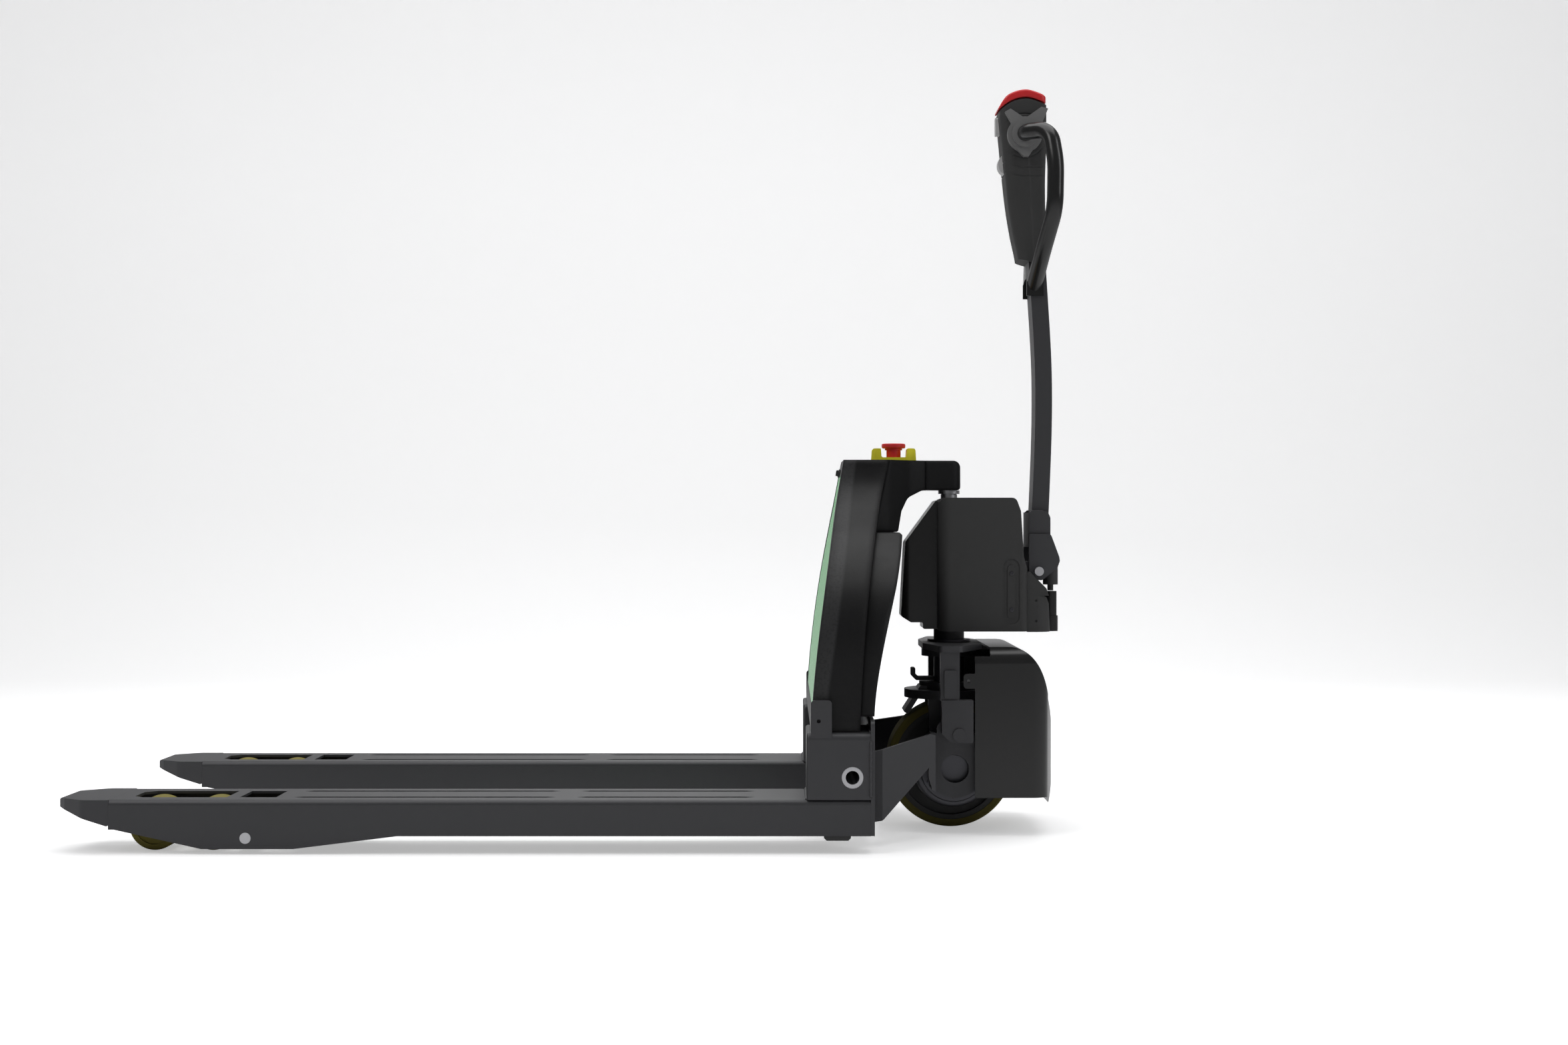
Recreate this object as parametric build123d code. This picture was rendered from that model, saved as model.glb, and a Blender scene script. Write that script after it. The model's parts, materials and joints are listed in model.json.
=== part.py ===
from build123d import *
from math import asin, atan2, cos, degrees, hypot, radians, sin, tan
import os

# Electric pallet truck. Millimetres, +Z up, floor at Z = 0.
# While modelling, X = 0 is the heel face where the forks meet the mast, the forks point to -X,
# the tiller stands at +X and Y = 0 is the centre plane. "Left" is the driver's left, -Y.
# place() moves every piece to the final frame, whose origin is under the middle of the truck.

# ---- driving dimensions -------------------------------------------------------------------
fork_length = 1150.0
fork_width = 150.0
fork_depth = 55.0
fork_top_z = 83.0
fork_plate = 4.0
fork_fold_radius = 8.0
overall_width = 685.0
tip_length = 85.5
tip_nose_width = 76.0
skirt_bottom_z = 8.5
groove_length = 404.0
groove_rear_x = -79.5

roller_diameter = 80.0
roller_width = 60.0
roller_pitch = 90.0
bogie_from_tip = 188.5
roller_axle_diameter = 14.0
roller_hub_diameter = 34.0
link_plate = 5.0
yoke_pin_diameter = 17.0
yoke_reach_margin = 1.06
yoke_pivot_z = 25.0
push_pin_diameter = 10.0

lift_height = 115.0
heel_length = 98.0
heel_top_z = 185.0
heel_round = 11.0
heel_seat_depth = 0.6
rear_plate_thickness = 6.0
rear_plate_top_z = 203.0
rear_plate_bottom_z = 28.0
pad_thickness = 7.0

rocker_pivot_x = 70.0
rocker_pivot_z = 117.0
rocker_shaft_diameter = 33.0
rocker_shaft_bore = 21.0
rocker_sleeve_diameter = 45.0
rocker_plate = 8.0
rocker_spacing = 10.5
hub_plate_y = 127.0
hub_plate_thickness = 6.0
hub_disc_radius = 47.0

steer_axis_x = 242.5
drive_wheel_diameter = 210.0
drive_wheel_width = 70.0
tyre_thickness = 12.0
axle_diameter = 20.0
cheek_thickness = 8.0
column_diameter = 51.0
bearing_wall = 10.5
flange_top_z = 307.0
flange_thickness = 10.0
leg_bottom_z = 151.0
leg_thickness = 18.0
trunnion_diameter = 15.0
trunnion_z = 164.0
shroud_wall = 3.0
shroud_half_width = 150.0
shroud_rear_x = 410.0

mast_bottom_z = 192.0
mast_top_z = 609.0
mast_inset = 12.5
mast_neck_half_width = 88.0
mast_wall = 4.0
lid_top_z = 490.0
panel_depth = 3.0
panel_margin = 26.0
rod_diameter = 28.0
cylinder_wall = 4.5
neck_half_width = 33.0

housing_half_width = 68.0
housing_wall = 3.0
housing_bottom_z = 326.0
housing_top_z = 547.0
rear_cover_half_width = 60.0
front_cover_half_width = 40.0
housing_reach = 125.0
rear_cover_reach = 40.0

tiller_pivot_x = 388.5
tiller_pivot_z = 425.0
tiller_pin_diameter = 15.0
tiller_bracket_half_width = 39.0
tiller_bracket_plate = 6.0
tiller_tube_depth = 28.0
tiller_tube_width = 55.0
tiller_tube_wall = 3.0
tube_top_x = 387.0
gas_spring_x = 413.0
gas_spring_diameter = 25.0
gas_tube_diameter = 21.0
gas_rod_diameter = 9.9

head_top_z = 1210.0
head_half_width = 44.0
loop_tube_diameter = 27.0
loop_half_width = 132.0
wing_axis_x = 364.5
wing_axis_z = 1149.0
wing_radius = 29.0
wing_sleeve_diameter = 34.0
belly_travel = 3.0
belly_thickness = 13.0
key_diameter = 14.0
key_x = 59.5
key_z = 588.0
key_lean = 9.5
estop_travel = 5.0
estop_guard_floor = 6.0
estop_hump = 21.0
estop_x = 149.5
estop_diameter = 40.0
estop_stem_diameter = 24.0

running_fit = 0.05
fixed_gap = 0.1
body_gap = 0.4
side_play = 2.0

# ---- sizes worked out from them -----------------------------------------------------------
fork_bottom_z = fork_top_z - fork_depth
mast_half_width = overall_width / 2 - mast_inset
fork_y = (overall_width - fork_width) / 2
tip_x = -fork_length
fork_front_x = tip_x + tip_length
roller_z = roller_diameter / 2
yoke_reach = yoke_reach_margin * (lift_height - roller_z + yoke_pivot_z)
wheel_z = drive_wheel_diameter / 2
bogie_x = tip_x + bogie_from_tip
yoke_x = bogie_x + yoke_reach
rear_plate_x = heel_length
rear_plate_back_x = rear_plate_x + rear_plate_thickness
housing_rear_x = steer_axis_x + housing_reach
rear_cover_x = housing_rear_x + rear_cover_reach
tail_x = gas_spring_x + gas_spring_diameter / 2
origin_x = (fork_length - tail_x) / 2
bogie_half = roller_width / 2 + side_play
yoke_half = bogie_half + link_plate + side_play


def swing_angle(reach, rise, drop):
    """Angle in radians through which an arm swings while its end sinks by drop."""
    length = hypot(reach, rise)
    return asin(rise / length) + asin((drop - rise) / length)


trunnion_x = steer_axis_x + 5.0
rocker_angle = swing_angle(trunnion_x - rocker_pivot_x, trunnion_z - rocker_pivot_z, lift_height)
yoke_angle = swing_angle(yoke_reach, roller_z - yoke_pivot_z, lift_height)
lever_share = tan(rocker_angle / 2) / (tan(rocker_angle / 2) + tan(yoke_angle / 2))
push_pin_rise = (rocker_pivot_z - yoke_pivot_z) * lever_share
push_rod_z = yoke_pivot_z + push_pin_rise
rocker_lever = rocker_pivot_z - push_rod_z
push_stroke = 2 * push_pin_rise * tan(yoke_angle / 2)
push_pin_x = yoke_x + push_stroke / 2
lever_pin_x = rocker_pivot_x + push_stroke / 2
arm_y = fork_y - rocker_spacing - rocker_plate
flange_bottom_z = flange_top_z - flange_thickness
bearing_diameter = column_diameter + 2 * bearing_wall
cylinder_diameter = rod_diameter + 2 * cylinder_wall
housing_front_x = steer_axis_x - cylinder_diameter / 2 - 0.5 - housing_wall
leg_y = hub_plate_y + hub_plate_thickness + side_play
tiller_lug_half = tiller_bracket_half_width - side_play
sides = {"left": -1, "right": 1}


# ---- ways of making solids ----------------------------------------------------------------
def outline(points, radius=0.0):
    """A flat closed face; radius is one value or one for each corner."""
    if isinstance(radius, (int, float)) and radius == 0:
        return make_face(Polyline(*points, close=True))
    return make_face(FilletPolyline(*points, radius=radius, close=True))


def upright(face, y_low, y_high):
    """Carries a face drawn in X and Z along Y, from y_low to y_high."""
    return extrude(Plane.XZ.offset(-y_low) * face, amount=-(y_high - y_low))


def level(face, z_low, z_high):
    """Carries a face drawn in X and Y up, from z_low to z_high."""
    return extrude(Plane.XY.offset(z_low) * face, amount=z_high - z_low)


def frontal(face, x_low, x_high):
    """Carries a face drawn in Y and Z along X, from x_low to x_high."""
    return extrude(Plane.YZ.offset(x_low) * face, amount=x_high - x_low)


def bar(x_low, x_high, y_low, y_high, z_low, z_high):
    """A plain block between two corners."""
    size = (x_high - x_low, y_high - y_low, z_high - z_low)
    middle = ((x_low + x_high) / 2, (y_low + y_high) / 2, (z_low + z_high) / 2)
    return Pos(*middle) * Box(*size)


def pin_y(x, z, diameter, y_low, y_high):
    """A round pin across the truck."""
    return upright(Pos(x, z) * Circle(diameter / 2), y_low, y_high)


def pin_z(x, y, diameter, z_low, z_high):
    """A round pin that stands upright."""
    return level(Pos(x, y) * Circle(diameter / 2), z_low, z_high)


def slot_face(x, z, length, width, angle=0.0):
    """A round-ended slot drawn in X and Z, length over the two round ends."""
    return Pos(x, z) * Rot(0, 0, angle) * SlotOverall(length, width)


def both_sides(shape):
    """A piece and its mirror image across the centre plane, as one part."""
    return shape + mirror(shape, about=Plane.XZ)


def place(shape):
    """Moves a finished piece to the final frame."""
    return Pos(origin_x, 0, 0) * shape


# ---- forks --------------------------------------------------------------------------------
def fork_side_outline():
    """Side view of a fork's skin, with the deeper skirt around the rollers."""
    return outline(
        [
            (fork_front_x, fork_top_z),
            (heel_length - fixed_gap, fork_top_z),
            (heel_length - fixed_gap, fork_bottom_z),
            (yoke_x + 231.0, fork_bottom_z),
            (yoke_x + 73.0, skirt_bottom_z),
            (bogie_x + 39.0, skirt_bottom_z),
            (fork_front_x + 9.0, fork_bottom_z + 10.0),
            (fork_front_x, fork_bottom_z + 10.0),
        ]
    )


def pressed_groove(x_low, x_high, y):
    """Cutter for one pointed stiffening groove in the fork's top."""
    half = 5.5
    point = 14.0
    depth = 1.8
    face = make_face(
        Polyline(
            (x_low, y),
            (x_low + point, y - half),
            (x_high - point, y - half),
            (x_high, y),
            (x_high - point, y + half),
            (x_low + point, y + half),
            close=True,
        )
    )
    return level(face, fork_top_z - depth, fork_top_z + 1)


def channel_bar(half, top_z, fold):
    """A long bar with its two upper edges rounded, as wide as twice half."""
    face = Pos(0, top_z / 2) * Rectangle(2 * half, top_z)
    face = fillet(face.vertices().group_by(Axis.Y)[-1], fold)
    return frontal(face, fork_front_x - 1, heel_length + 1)


def fork(side):
    """One fork: a folded channel, open below, with roller windows and pressed grooves."""
    half = fork_width / 2
    side_view = upright(fork_side_outline(), -half, half)
    skin = side_view & channel_bar(half, fork_top_z, fork_fold_radius)
    skin = skin - channel_bar(half - fork_plate, fork_top_z - fork_plate, fork_fold_radius - fork_plate)
    below_skin = fork_top_z - 2 * fork_plate
    above_skin = fork_top_z + 1
    window_face = make_face(
        Polyline(
            (bogie_x - 76.0, -yoke_half + 14.0),
            (bogie_x - 60.0, -yoke_half),
            (bogie_x + 69.0, -yoke_half),
            (bogie_x + 69.0, yoke_half),
            (bogie_x - 60.0, yoke_half),
            (bogie_x - 76.0, yoke_half - 14.0),
            close=True,
        )
    )
    skin = skin - level(window_face, below_skin, above_skin)
    skin = skin - bar(yoke_x - 17, yoke_x + 39, -yoke_half, yoke_half, below_skin, above_skin)
    linkage_half = half - fork_plate - 8.0
    skin = skin - bar(6, heel_length + 1, -linkage_half, linkage_half, below_skin, above_skin)
    groove_join_x = yoke_x + groove_length + 66.0
    for row in (-1, 1):
        y = row * fork_width / 4
        skin = skin - pressed_groove(yoke_x + 66, groove_join_x, y)
        skin = skin - pressed_groove(groove_join_x + 32, groove_rear_x, y)
    seat_z = fork_top_z - heel_seat_depth
    skin = skin - bar(-fixed_gap, heel_length + 1, -half - 1, half + 1, seat_z, above_skin)
    skin = skin - pin_y(yoke_x, yoke_pivot_z, yoke_pin_diameter + 2 * fixed_gap, -half - 1, half + 1)
    return Pos(0, side * fork_y, 0) * skin


def fork_tip(side):
    """Separate nose casting that closes the front of a fork."""
    half = fork_width / 2
    side_view = upright(
        outline(
            [
                (fork_front_x - fixed_gap, fork_top_z),
                (fork_front_x - fixed_gap, fork_top_z - 41.0),
                (tip_x, fork_top_z - 14.0),
                (tip_x, fork_top_z),
            ],
            [0, 3, 3, 6],
        ),
        -half,
        half,
    )
    plan = level(
        outline(
            [
                (fork_front_x, -half),
                (tip_x + 45.0, -half),
                (tip_x + 11.0, -tip_nose_width / 2 - 12.0),
                (tip_x, -tip_nose_width / 2),
                (tip_x, tip_nose_width / 2),
                (tip_x + 11.0, tip_nose_width / 2 + 12.0),
                (tip_x + 45.0, half),
                (fork_front_x, half),
            ],
            [0, 20, 8, 6, 6, 8, 20, 0],
        ),
        0,
        fork_top_z + 1,
    )
    return Pos(0, side * fork_y, 0) * (side_view & plan)


def heel_box(side):
    """Hollow heel that joins a fork to the rear plate, with the lug that holds the mast."""
    half = fork_width / 2
    block = bar(0, heel_length - fixed_gap, -half, half, fork_top_z + fixed_gap, heel_top_z)
    block = fillet(block.edges().filter_by(Axis.X).group_by(Axis.Z)[-1], heel_round)
    block = fillet(block.edges().filter_by(Axis.Z).group_by(Axis.X)[0], 4.0)
    inner_half = half - fork_plate
    inner_top = heel_top_z - fork_plate
    hollow = bar(fork_plate, heel_length + 1, -inner_half, inner_half, fork_top_z - 1, inner_top)
    hollow = fillet(hollow.edges().filter_by(Axis.X).group_by(Axis.Z)[-1], heel_round - fork_plate)
    lug_outer = side * (half - 0.5)
    lug_inner = side * (half - 0.5 - fork_plate)
    lug = upright(
        outline([(6.5, heel_top_z - 14), (38.5, heel_top_z - 14), (38.5, 235), (6.5, 235)], [0, 0, 6, 6]),
        min(lug_outer, lug_inner),
        max(lug_outer, lug_inner),
    )
    body = block - hollow + lug
    body = body - pin_y(18.5, heel_top_z + 18, 6, -half - 1, half + 1)
    shaft_hole = rocker_shaft_diameter + 2 * fixed_gap
    sleeve_hole = rocker_sleeve_diameter + 6.0
    outer_low, outer_high = sorted((side * (half - fork_plate - 1), side * (half + 1)))
    inner_low, inner_high = sorted((-side * (half - fork_plate - 1), -side * (half + 1)))
    body = body - pin_y(rocker_pivot_x, rocker_pivot_z, shaft_hole, outer_low, outer_high)
    body = body - pin_y(rocker_pivot_x, rocker_pivot_z, sleeve_hole, inner_low, inner_high)
    return Pos(0, side * fork_y, 0) * body


def rear_plate():
    """Cross plate behind the heels, notched from below for the rocker arms."""
    half = overall_width / 2
    plate = frontal(
        outline(
            [
                (-half, rear_plate_bottom_z),
                (half, rear_plate_bottom_z),
                (half, rear_plate_top_z),
                (-half, rear_plate_top_z),
            ],
            [2, 2, 8, 8],
        ),
        rear_plate_x,
        rear_plate_back_x,
    )
    notch_inner = arm_y - 45.0
    notch_outer = fork_y + rocker_spacing + rocker_plate + 8.0
    notch = bar(rear_plate_x - 1, rear_plate_back_x + 1, notch_inner, notch_outer, 0, 165)
    return plate - both_sides(notch)


def heel_pads():
    """Two skid pads under the heels."""
    outer_y = overall_width / 2
    inside_skin = outer_y - fork_plate - fixed_gap
    pad = bar(26.5, 67.5, outer_y - 34, outer_y - 1, fork_bottom_z - pad_thickness, fork_bottom_z - fixed_gap)
    pad = chamfer(pad.edges().filter_by(Axis.Y).group_by(Axis.Z)[0], 4.0)
    stay = bar(30, 64, outer_y - 20, inside_skin, fork_bottom_z - 1, fork_bottom_z + 22)
    return both_sides(pad + stay)


def rocker_shaft():
    """Tube across the heels that the rocker turns on."""
    half = overall_width / 2 - 0.5
    outer = pin_y(rocker_pivot_x, rocker_pivot_z, rocker_shaft_diameter, -half, half)
    return outer - pin_y(rocker_pivot_x, rocker_pivot_z, rocker_shaft_bore, -half - 1, half + 1)


def yoke_pins():
    """Pins across the forks that the load-wheel yokes turn on."""
    half = fork_width / 2 + 0.5
    pin = pin_y(yoke_x, yoke_pivot_z, yoke_pin_diameter, -half, half)
    return Pos(0, -fork_y, 0) * pin + Pos(0, fork_y, 0) * pin


# ---- lift linkage -------------------------------------------------------------------------
def rocker_side_outline():
    """Side view of the rocker: lever, arm and the round-ended plate beside the drive wheel."""
    arm = outline(
        [
            (rocker_pivot_x - 21, rocker_pivot_z + 12),
            (rocker_pivot_x - 8, rocker_pivot_z + 25),
            (rocker_pivot_x + 41, rocker_pivot_z + 32),
            (200.5, rocker_pivot_z + 52),
            (207.5, rocker_pivot_z + 48),
            (207.5, rocker_pivot_z + 10),
            (189.5, rocker_pivot_z - 8),
            (120, rocker_pivot_z - 77),
            (rocker_pivot_x + 12, rocker_pivot_z - 83),
            (rocker_pivot_x + 2, rocker_pivot_z - 76),
            (rocker_pivot_x - 10, rocker_pivot_z - 20),
        ],
        [8, 8, 20, 3, 3, 3, 6, 10, 6, 6, 4],
    )
    hub = Pos(steer_axis_x, wheel_z + 2) * Circle(hub_disc_radius)
    neck = outline([(200.5, 80), (steer_axis_x, 60), (steer_axis_x, 154), (200.5, rocker_pivot_z + 52)])
    ear = outline(
        [(steer_axis_x + 31, 120), (trunnion_x + 27, 160), (trunnion_x + 22, 184), (213, 184), (213, 120)],
        [0, 10, 12, 12, 0],
    )
    return arm + hub + neck + ear


def rocker_plan_strip():
    """Plan view of one bent rocker plate, at -Y."""
    inner = hub_plate_y
    outer = arm_y + rocker_plate
    bend_x = 116.0
    end_x = 200.5
    end_y = inner + 52.0
    return make_face(
        Polyline(
            (rocker_pivot_x - 40, -outer),
            (bend_x + 3.3, -outer),
            (end_x + 7.0, -end_y - 7.0),
            (end_x + 7.0, -inner - hub_plate_thickness),
            (steer_axis_x + 60, -inner - hub_plate_thickness),
            (steer_axis_x + 60, -inner),
            (end_x, -inner),
            (end_x, -end_y),
            (bend_x, -arm_y),
            (rocker_pivot_x - 40, -arm_y),
            close=True,
        )
    )


def rocker():
    """Rocker that turns the truck's weight round from the drive unit to the push rods."""
    plate = upright(rocker_side_outline(), -arm_y - rocker_plate - 5, -hub_plate_y + 5)
    plate = plate & level(rocker_plan_strip(), 0, 250)
    lever_y = fork_y + rocker_spacing
    lever = upright(
        outline(
            [
                (rocker_pivot_x - 20, rocker_pivot_z + 8),
                (rocker_pivot_x + 20, rocker_pivot_z + 12),
                (rocker_pivot_x + 36, rocker_pivot_z - 66),
                (rocker_pivot_x + 26, rocker_pivot_z - 83),
                (rocker_pivot_x + 6, rocker_pivot_z - 78),
            ],
            [6, 6, 10, 8, 8],
        ),
        -lever_y - rocker_plate,
        -lever_y,
    )
    half = lever_y + rocker_plate
    lever_angle = degrees(atan2(-rocker_lever, lever_pin_x - rocker_pivot_x))
    middle = (rocker_lever + hypot(rocker_lever, push_stroke / 2)) / 2
    pin_slot = slot_face(
        rocker_pivot_x + middle * cos(radians(lever_angle)),
        rocker_pivot_z + middle * sin(radians(lever_angle)),
        push_pin_diameter + 14.0,
        push_pin_diameter + 3.0,
        lever_angle,
    )
    one = plate + lever
    one = one - upright(pin_slot, -half - 5, -arm_y + 5)
    ear_slot = slot_face(trunnion_x, trunnion_z + 1.3, trunnion_diameter + 16.0, trunnion_diameter + 8.0)
    one = one - upright(ear_slot, -hub_plate_y - 20, 0)
    one = one - pin_y(steer_axis_x, wheel_z + 2, 45.4, -hub_plate_y - 20, 0)
    body = both_sides(one) + pin_y(rocker_pivot_x, rocker_pivot_z, rocker_sleeve_diameter, -half, half)
    bore = rocker_shaft_diameter + 2 * running_fit
    return body - pin_y(rocker_pivot_x, rocker_pivot_z, bore, -half - 1, half + 1)


def push_rod(side):
    """Flat bar inside a fork, with a cross pin at each end."""
    half = rocker_spacing - side_play
    yoke_reach_y = yoke_half + link_plate + 1
    lever_reach_y = rocker_spacing + rocker_plate + 1
    body = bar(push_pin_x - 9, lever_pin_x + 3, -half / 2, half / 2, push_rod_z - 9, push_rod_z + 9)
    body = body + pin_y(push_pin_x, push_rod_z, push_pin_diameter + 12, -half, half)
    body = body + pin_y(lever_pin_x, push_rod_z, push_pin_diameter + 6, -half, half)
    body = body + pin_y(push_pin_x, push_rod_z, push_pin_diameter, -yoke_reach_y, yoke_reach_y)
    body = body + pin_y(lever_pin_x, push_rod_z, push_pin_diameter, -lever_reach_y, lever_reach_y)
    return Pos(0, side * fork_y, 0) * body


def yoke(side):
    """Pair of cranked links that swing a pair of load rollers down."""
    boss = yoke_pin_diameter + 10.0
    link = outline(
        [
            (bogie_x - 11, roller_z + 9),
            (yoke_x - 6, yoke_pivot_z + 14),
            (push_pin_x - 18, push_rod_z + 8),
            (push_pin_x + 6, push_rod_z + 17),
            (push_pin_x + 16, push_rod_z - 2),
            (yoke_x + 14, yoke_pivot_z - 2),
            (yoke_x + 4, yoke_pivot_z - 13),
            (yoke_x - 12, yoke_pivot_z - 9),
            (bogie_x - 3, roller_z - 11),
        ],
        [8, 6, 4, 6, 5, 8, 6, 6, 8],
    )
    prong_angle = degrees(atan2(push_pin_rise, push_pin_x - yoke_x))
    reach = hypot(push_pin_rise, push_pin_x - yoke_x) + 4.0
    prong_slot = slot_face(
        yoke_x + reach * cos(radians(prong_angle)),
        yoke_pivot_z + reach * sin(radians(prong_angle)),
        push_pin_diameter + 26.0,
        push_pin_diameter + 4.0,
        prong_angle,
    )
    outer = yoke_half + link_plate
    yoke_bore = yoke_pin_diameter + 2 * running_fit
    stub_bore = roller_axle_diameter + 2 * running_fit
    plate = upright(link - prong_slot, yoke_half, outer)
    body = both_sides(plate) + pin_y(yoke_x, yoke_pivot_z, boss, -outer, outer)
    body = body - pin_y(yoke_x, yoke_pivot_z, yoke_bore, -outer - 1, outer + 1)
    body = body - pin_y(bogie_x, roller_z, stub_bore, -outer - 1, outer + 1)
    return Pos(0, side * fork_y, 0) * body


def bogie(side):
    """Two side links that carry a front and a rear load roller on their axles."""
    link = slot_face(bogie_x, roller_z, roller_pitch + 26.0, 26.0)
    plate = upright(link, bogie_half, bogie_half + link_plate)
    stub = pin_y(bogie_x, roller_z, roller_axle_diameter, bogie_half + link_plate / 2, yoke_half + link_plate)
    body = both_sides(plate + stub)
    for end in (-1, 1):
        axle_x = bogie_x + end * roller_pitch / 2
        reach = bogie_half + link_plate
        body = body + pin_y(axle_x, roller_z, roller_axle_diameter, -reach, reach)
    return Pos(0, side * fork_y, 0) * body


def load_roller(side, end):
    """One load roller with its moulded tread and stepped hub."""
    x = bogie_x + end * roller_pitch / 2
    half = roller_width / 2
    body = pin_y(x, roller_z, roller_diameter, -half, half)
    body = fillet(body.edges().filter_by(GeomType.CIRCLE), 4.0)
    for face_side in (-1, 1):
        low, high = sorted((face_side * (half - 3), face_side * (half + 1)))
        ring = pin_y(x, roller_z, roller_diameter - 18, low, high)
        ring = ring - pin_y(x, roller_z, roller_hub_diameter, low - 1, high + 1)
        body = body - ring
    bore = roller_axle_diameter + 2 * running_fit
    body = body - pin_y(x, roller_z, bore, -half - 1, half + 1)
    return Pos(0, side * fork_y, 0) * body


# ---- mast and neck ------------------------------------------------------------------------
def mast_z(share):
    """Height at a share of the way up the mast."""
    return mast_bottom_z + share * (mast_top_z - mast_bottom_z)


def leaning_edge(reaches, shift):
    """Points of a leaning edge that runs on past the mast's foot and top."""
    shares = (-0.06, 0.24, 0.51, 0.76, 1.0, 1.12)
    return [(x + shift, mast_z(share)) for x, share in zip(reaches, shares)]


def front_edge(shift=0.0):
    """The mast's front edge, moved along X by shift."""
    return leaning_edge((6.0, 15.0, 29.5, 46.0, 63.5, 73.0), shift)


def ridge_edge(shift=0.0):
    """The ridge where the mast's rear meets the battery lid, moved along X by shift."""
    return leaning_edge((81.0, 87.0, 97.5, 115.0, 138.0, 151.0), shift)


def leaning_face(front_points, rear_points, lower, upper):
    """Side view of the space between two leaning edges and two heights."""
    front = Spline(*front_points)
    rear = Spline(*rear_points)
    top = Line(front @ 1, rear @ 1)
    base = Line(front @ 0, rear @ 0)
    face = make_face(Wire([front.edge(), top.edge(), rear.edge(), base.edge()]))
    return face & (Pos(100, (lower + upper) / 2) * Rectangle(600, upper - lower))


def mast_front_face(inset, lower, upper):
    """Front view of the mast: straight flanks that sweep in to a narrow top like a bell."""
    half = mast_half_width - inset
    neck = mast_neck_half_width - 0.95 * inset
    high = mast_top_z + 40.0
    flank = Line((half, mast_bottom_z - 40), (half, mast_z(0.26)))
    sweep_in = Spline(
        (half, mast_z(0.26)),
        (half - 29.0, mast_z(0.51) - 0.2 * inset),
        (mast_half_width - 112.0 - 0.75 * inset, mast_z(0.69) - 0.66 * inset),
        (neck + 37.0, mast_z(0.845) - 0.7 * inset),
        (neck, mast_z(1.0)),
        tangents=[(0, 1), (-0.25, 1)],
    )
    spire = Line((neck, mast_z(1.0)), (neck - 8.0, high))
    top = Line((neck - 8.0, high), (0, high))
    middle = Line((0, high), (0, mast_bottom_z - 40))
    base = Line((0, mast_bottom_z - 40), (half, mast_bottom_z - 40))
    loop = [flank.edge(), sweep_in.edge(), spire.edge(), top.edge(), middle.edge(), base.edge()]
    face = make_face(Wire(loop))
    clip = Pos(500, (lower + upper) / 2) * Rectangle(1000, upper - lower)
    return face & clip


def leaning_band(front_points, rear_points, inset, lower=mast_bottom_z, upper=mast_top_z):
    """The space between two leaning edges and inside the bell outline."""
    depth = upright(leaning_face(front_points, rear_points, lower, upper), -1, 400)
    width = frontal(mast_front_face(inset, lower, upper), -100, 400)
    half = (depth & width) - bar(-100, 500, -50, 0, 0, 2000)
    return both_sides(half)


def panel_space(front_shift, back_shift, gap):
    """The panel's place in the mast's front, smaller all round by gap."""
    lower = mast_bottom_z + panel_margin + gap
    upper = mast_top_z - panel_margin - gap
    return leaning_band(front_edge(front_shift), front_edge(back_shift), panel_margin + gap, lower, upper)


def mast_body():
    """Hollow battery mast, recessed in front for the panel."""
    body = leaning_band(front_edge(), ridge_edge(), 0, heel_top_z + fixed_gap)
    hollow = leaning_band(
        front_edge(mast_wall + panel_depth),
        ridge_edge(-mast_wall),
        mast_wall,
        mast_bottom_z + mast_wall,
        mast_top_z - 8,
    )
    return body - hollow - panel_space(-1, panel_depth, 0)


def front_panel():
    """Glossy panel let into the mast's front."""
    return panel_space(0.5, panel_depth - fixed_gap, body_gap)


def battery_pack():
    """Battery block inside the mast."""
    block = bar(-22, 22, -255, 255, -85, 85)
    block = fillet(block.edges(), 3.0)
    return Pos(56, 0, 296) * Rot(0, 6.5, 0) * block


def battery_lid():
    """Bulging rear cover over the battery."""
    foot_z = rear_plate_top_z + 5.0
    rear = Spline(
        (rear_plate_back_x + 0.5, foot_z),
        (121.5, mast_z(0.32)),
        (147.0, mast_z(0.595)),
        (154.5, lid_top_z - 4.0),
    )
    crown = Polyline((154.5, lid_top_z - 4.0), (150.5, lid_top_z), (60, lid_top_z), (60, foot_z))
    base = Line((60, foot_z), rear @ 0)
    face = make_face(Wire([rear.edge(), *crown.edges(), base.edge()]))
    depth = upright(face, -1, 400)
    width = frontal(mast_front_face(14.0, mast_bottom_z, lid_top_z + 1), -100, 400)
    plan = level(
        outline([(60, -1), (158, -1), (158, 262), (112, 320), (60, 320)], [0, 0, 60, 20, 0]),
        0,
        900,
    )
    behind = leaning_face(front_edge(-40), ridge_edge(fixed_gap), mast_bottom_z - 5, mast_top_z + 20)
    half = depth & width & plan
    half = half - upright(behind, -10, 500) - bar(-100, 500, -50, 0, 0, 2000)
    return both_sides(half)


def neck_arm():
    """Arm that carries the mast's top over to the lifting rod."""
    side_face = outline(
        [
            (100, lid_top_z + 0.5),
            (153.5, lid_top_z + 0.5),
            (159.5, 525),
            (170.5, 547),
            (194.5, 559),
            (steer_axis_x - 41.2, 560),
            (steer_axis_x - 41.2, mast_top_z),
            (100, mast_top_z),
        ],
        [0, 4, 10, 18, 12, 0, 0, 0],
    )
    plan = outline(
        [
            (100, -112),
            (138, -88),
            (174, -50),
            (steer_axis_x - 41.2, -neck_half_width),
            (steer_axis_x - 41.2, neck_half_width),
            (174, 50),
            (138, 88),
            (100, 112),
        ],
        [0, 30, 40, 0, 0, 40, 30, 0],
    )
    body = upright(side_face, -400, 400) & level(plan, 400, 700)
    behind = leaning_face(front_edge(-40), ridge_edge(fixed_gap), mast_bottom_z - 5, mast_top_z + 20)
    return body - upright(behind, -400, 400)


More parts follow.
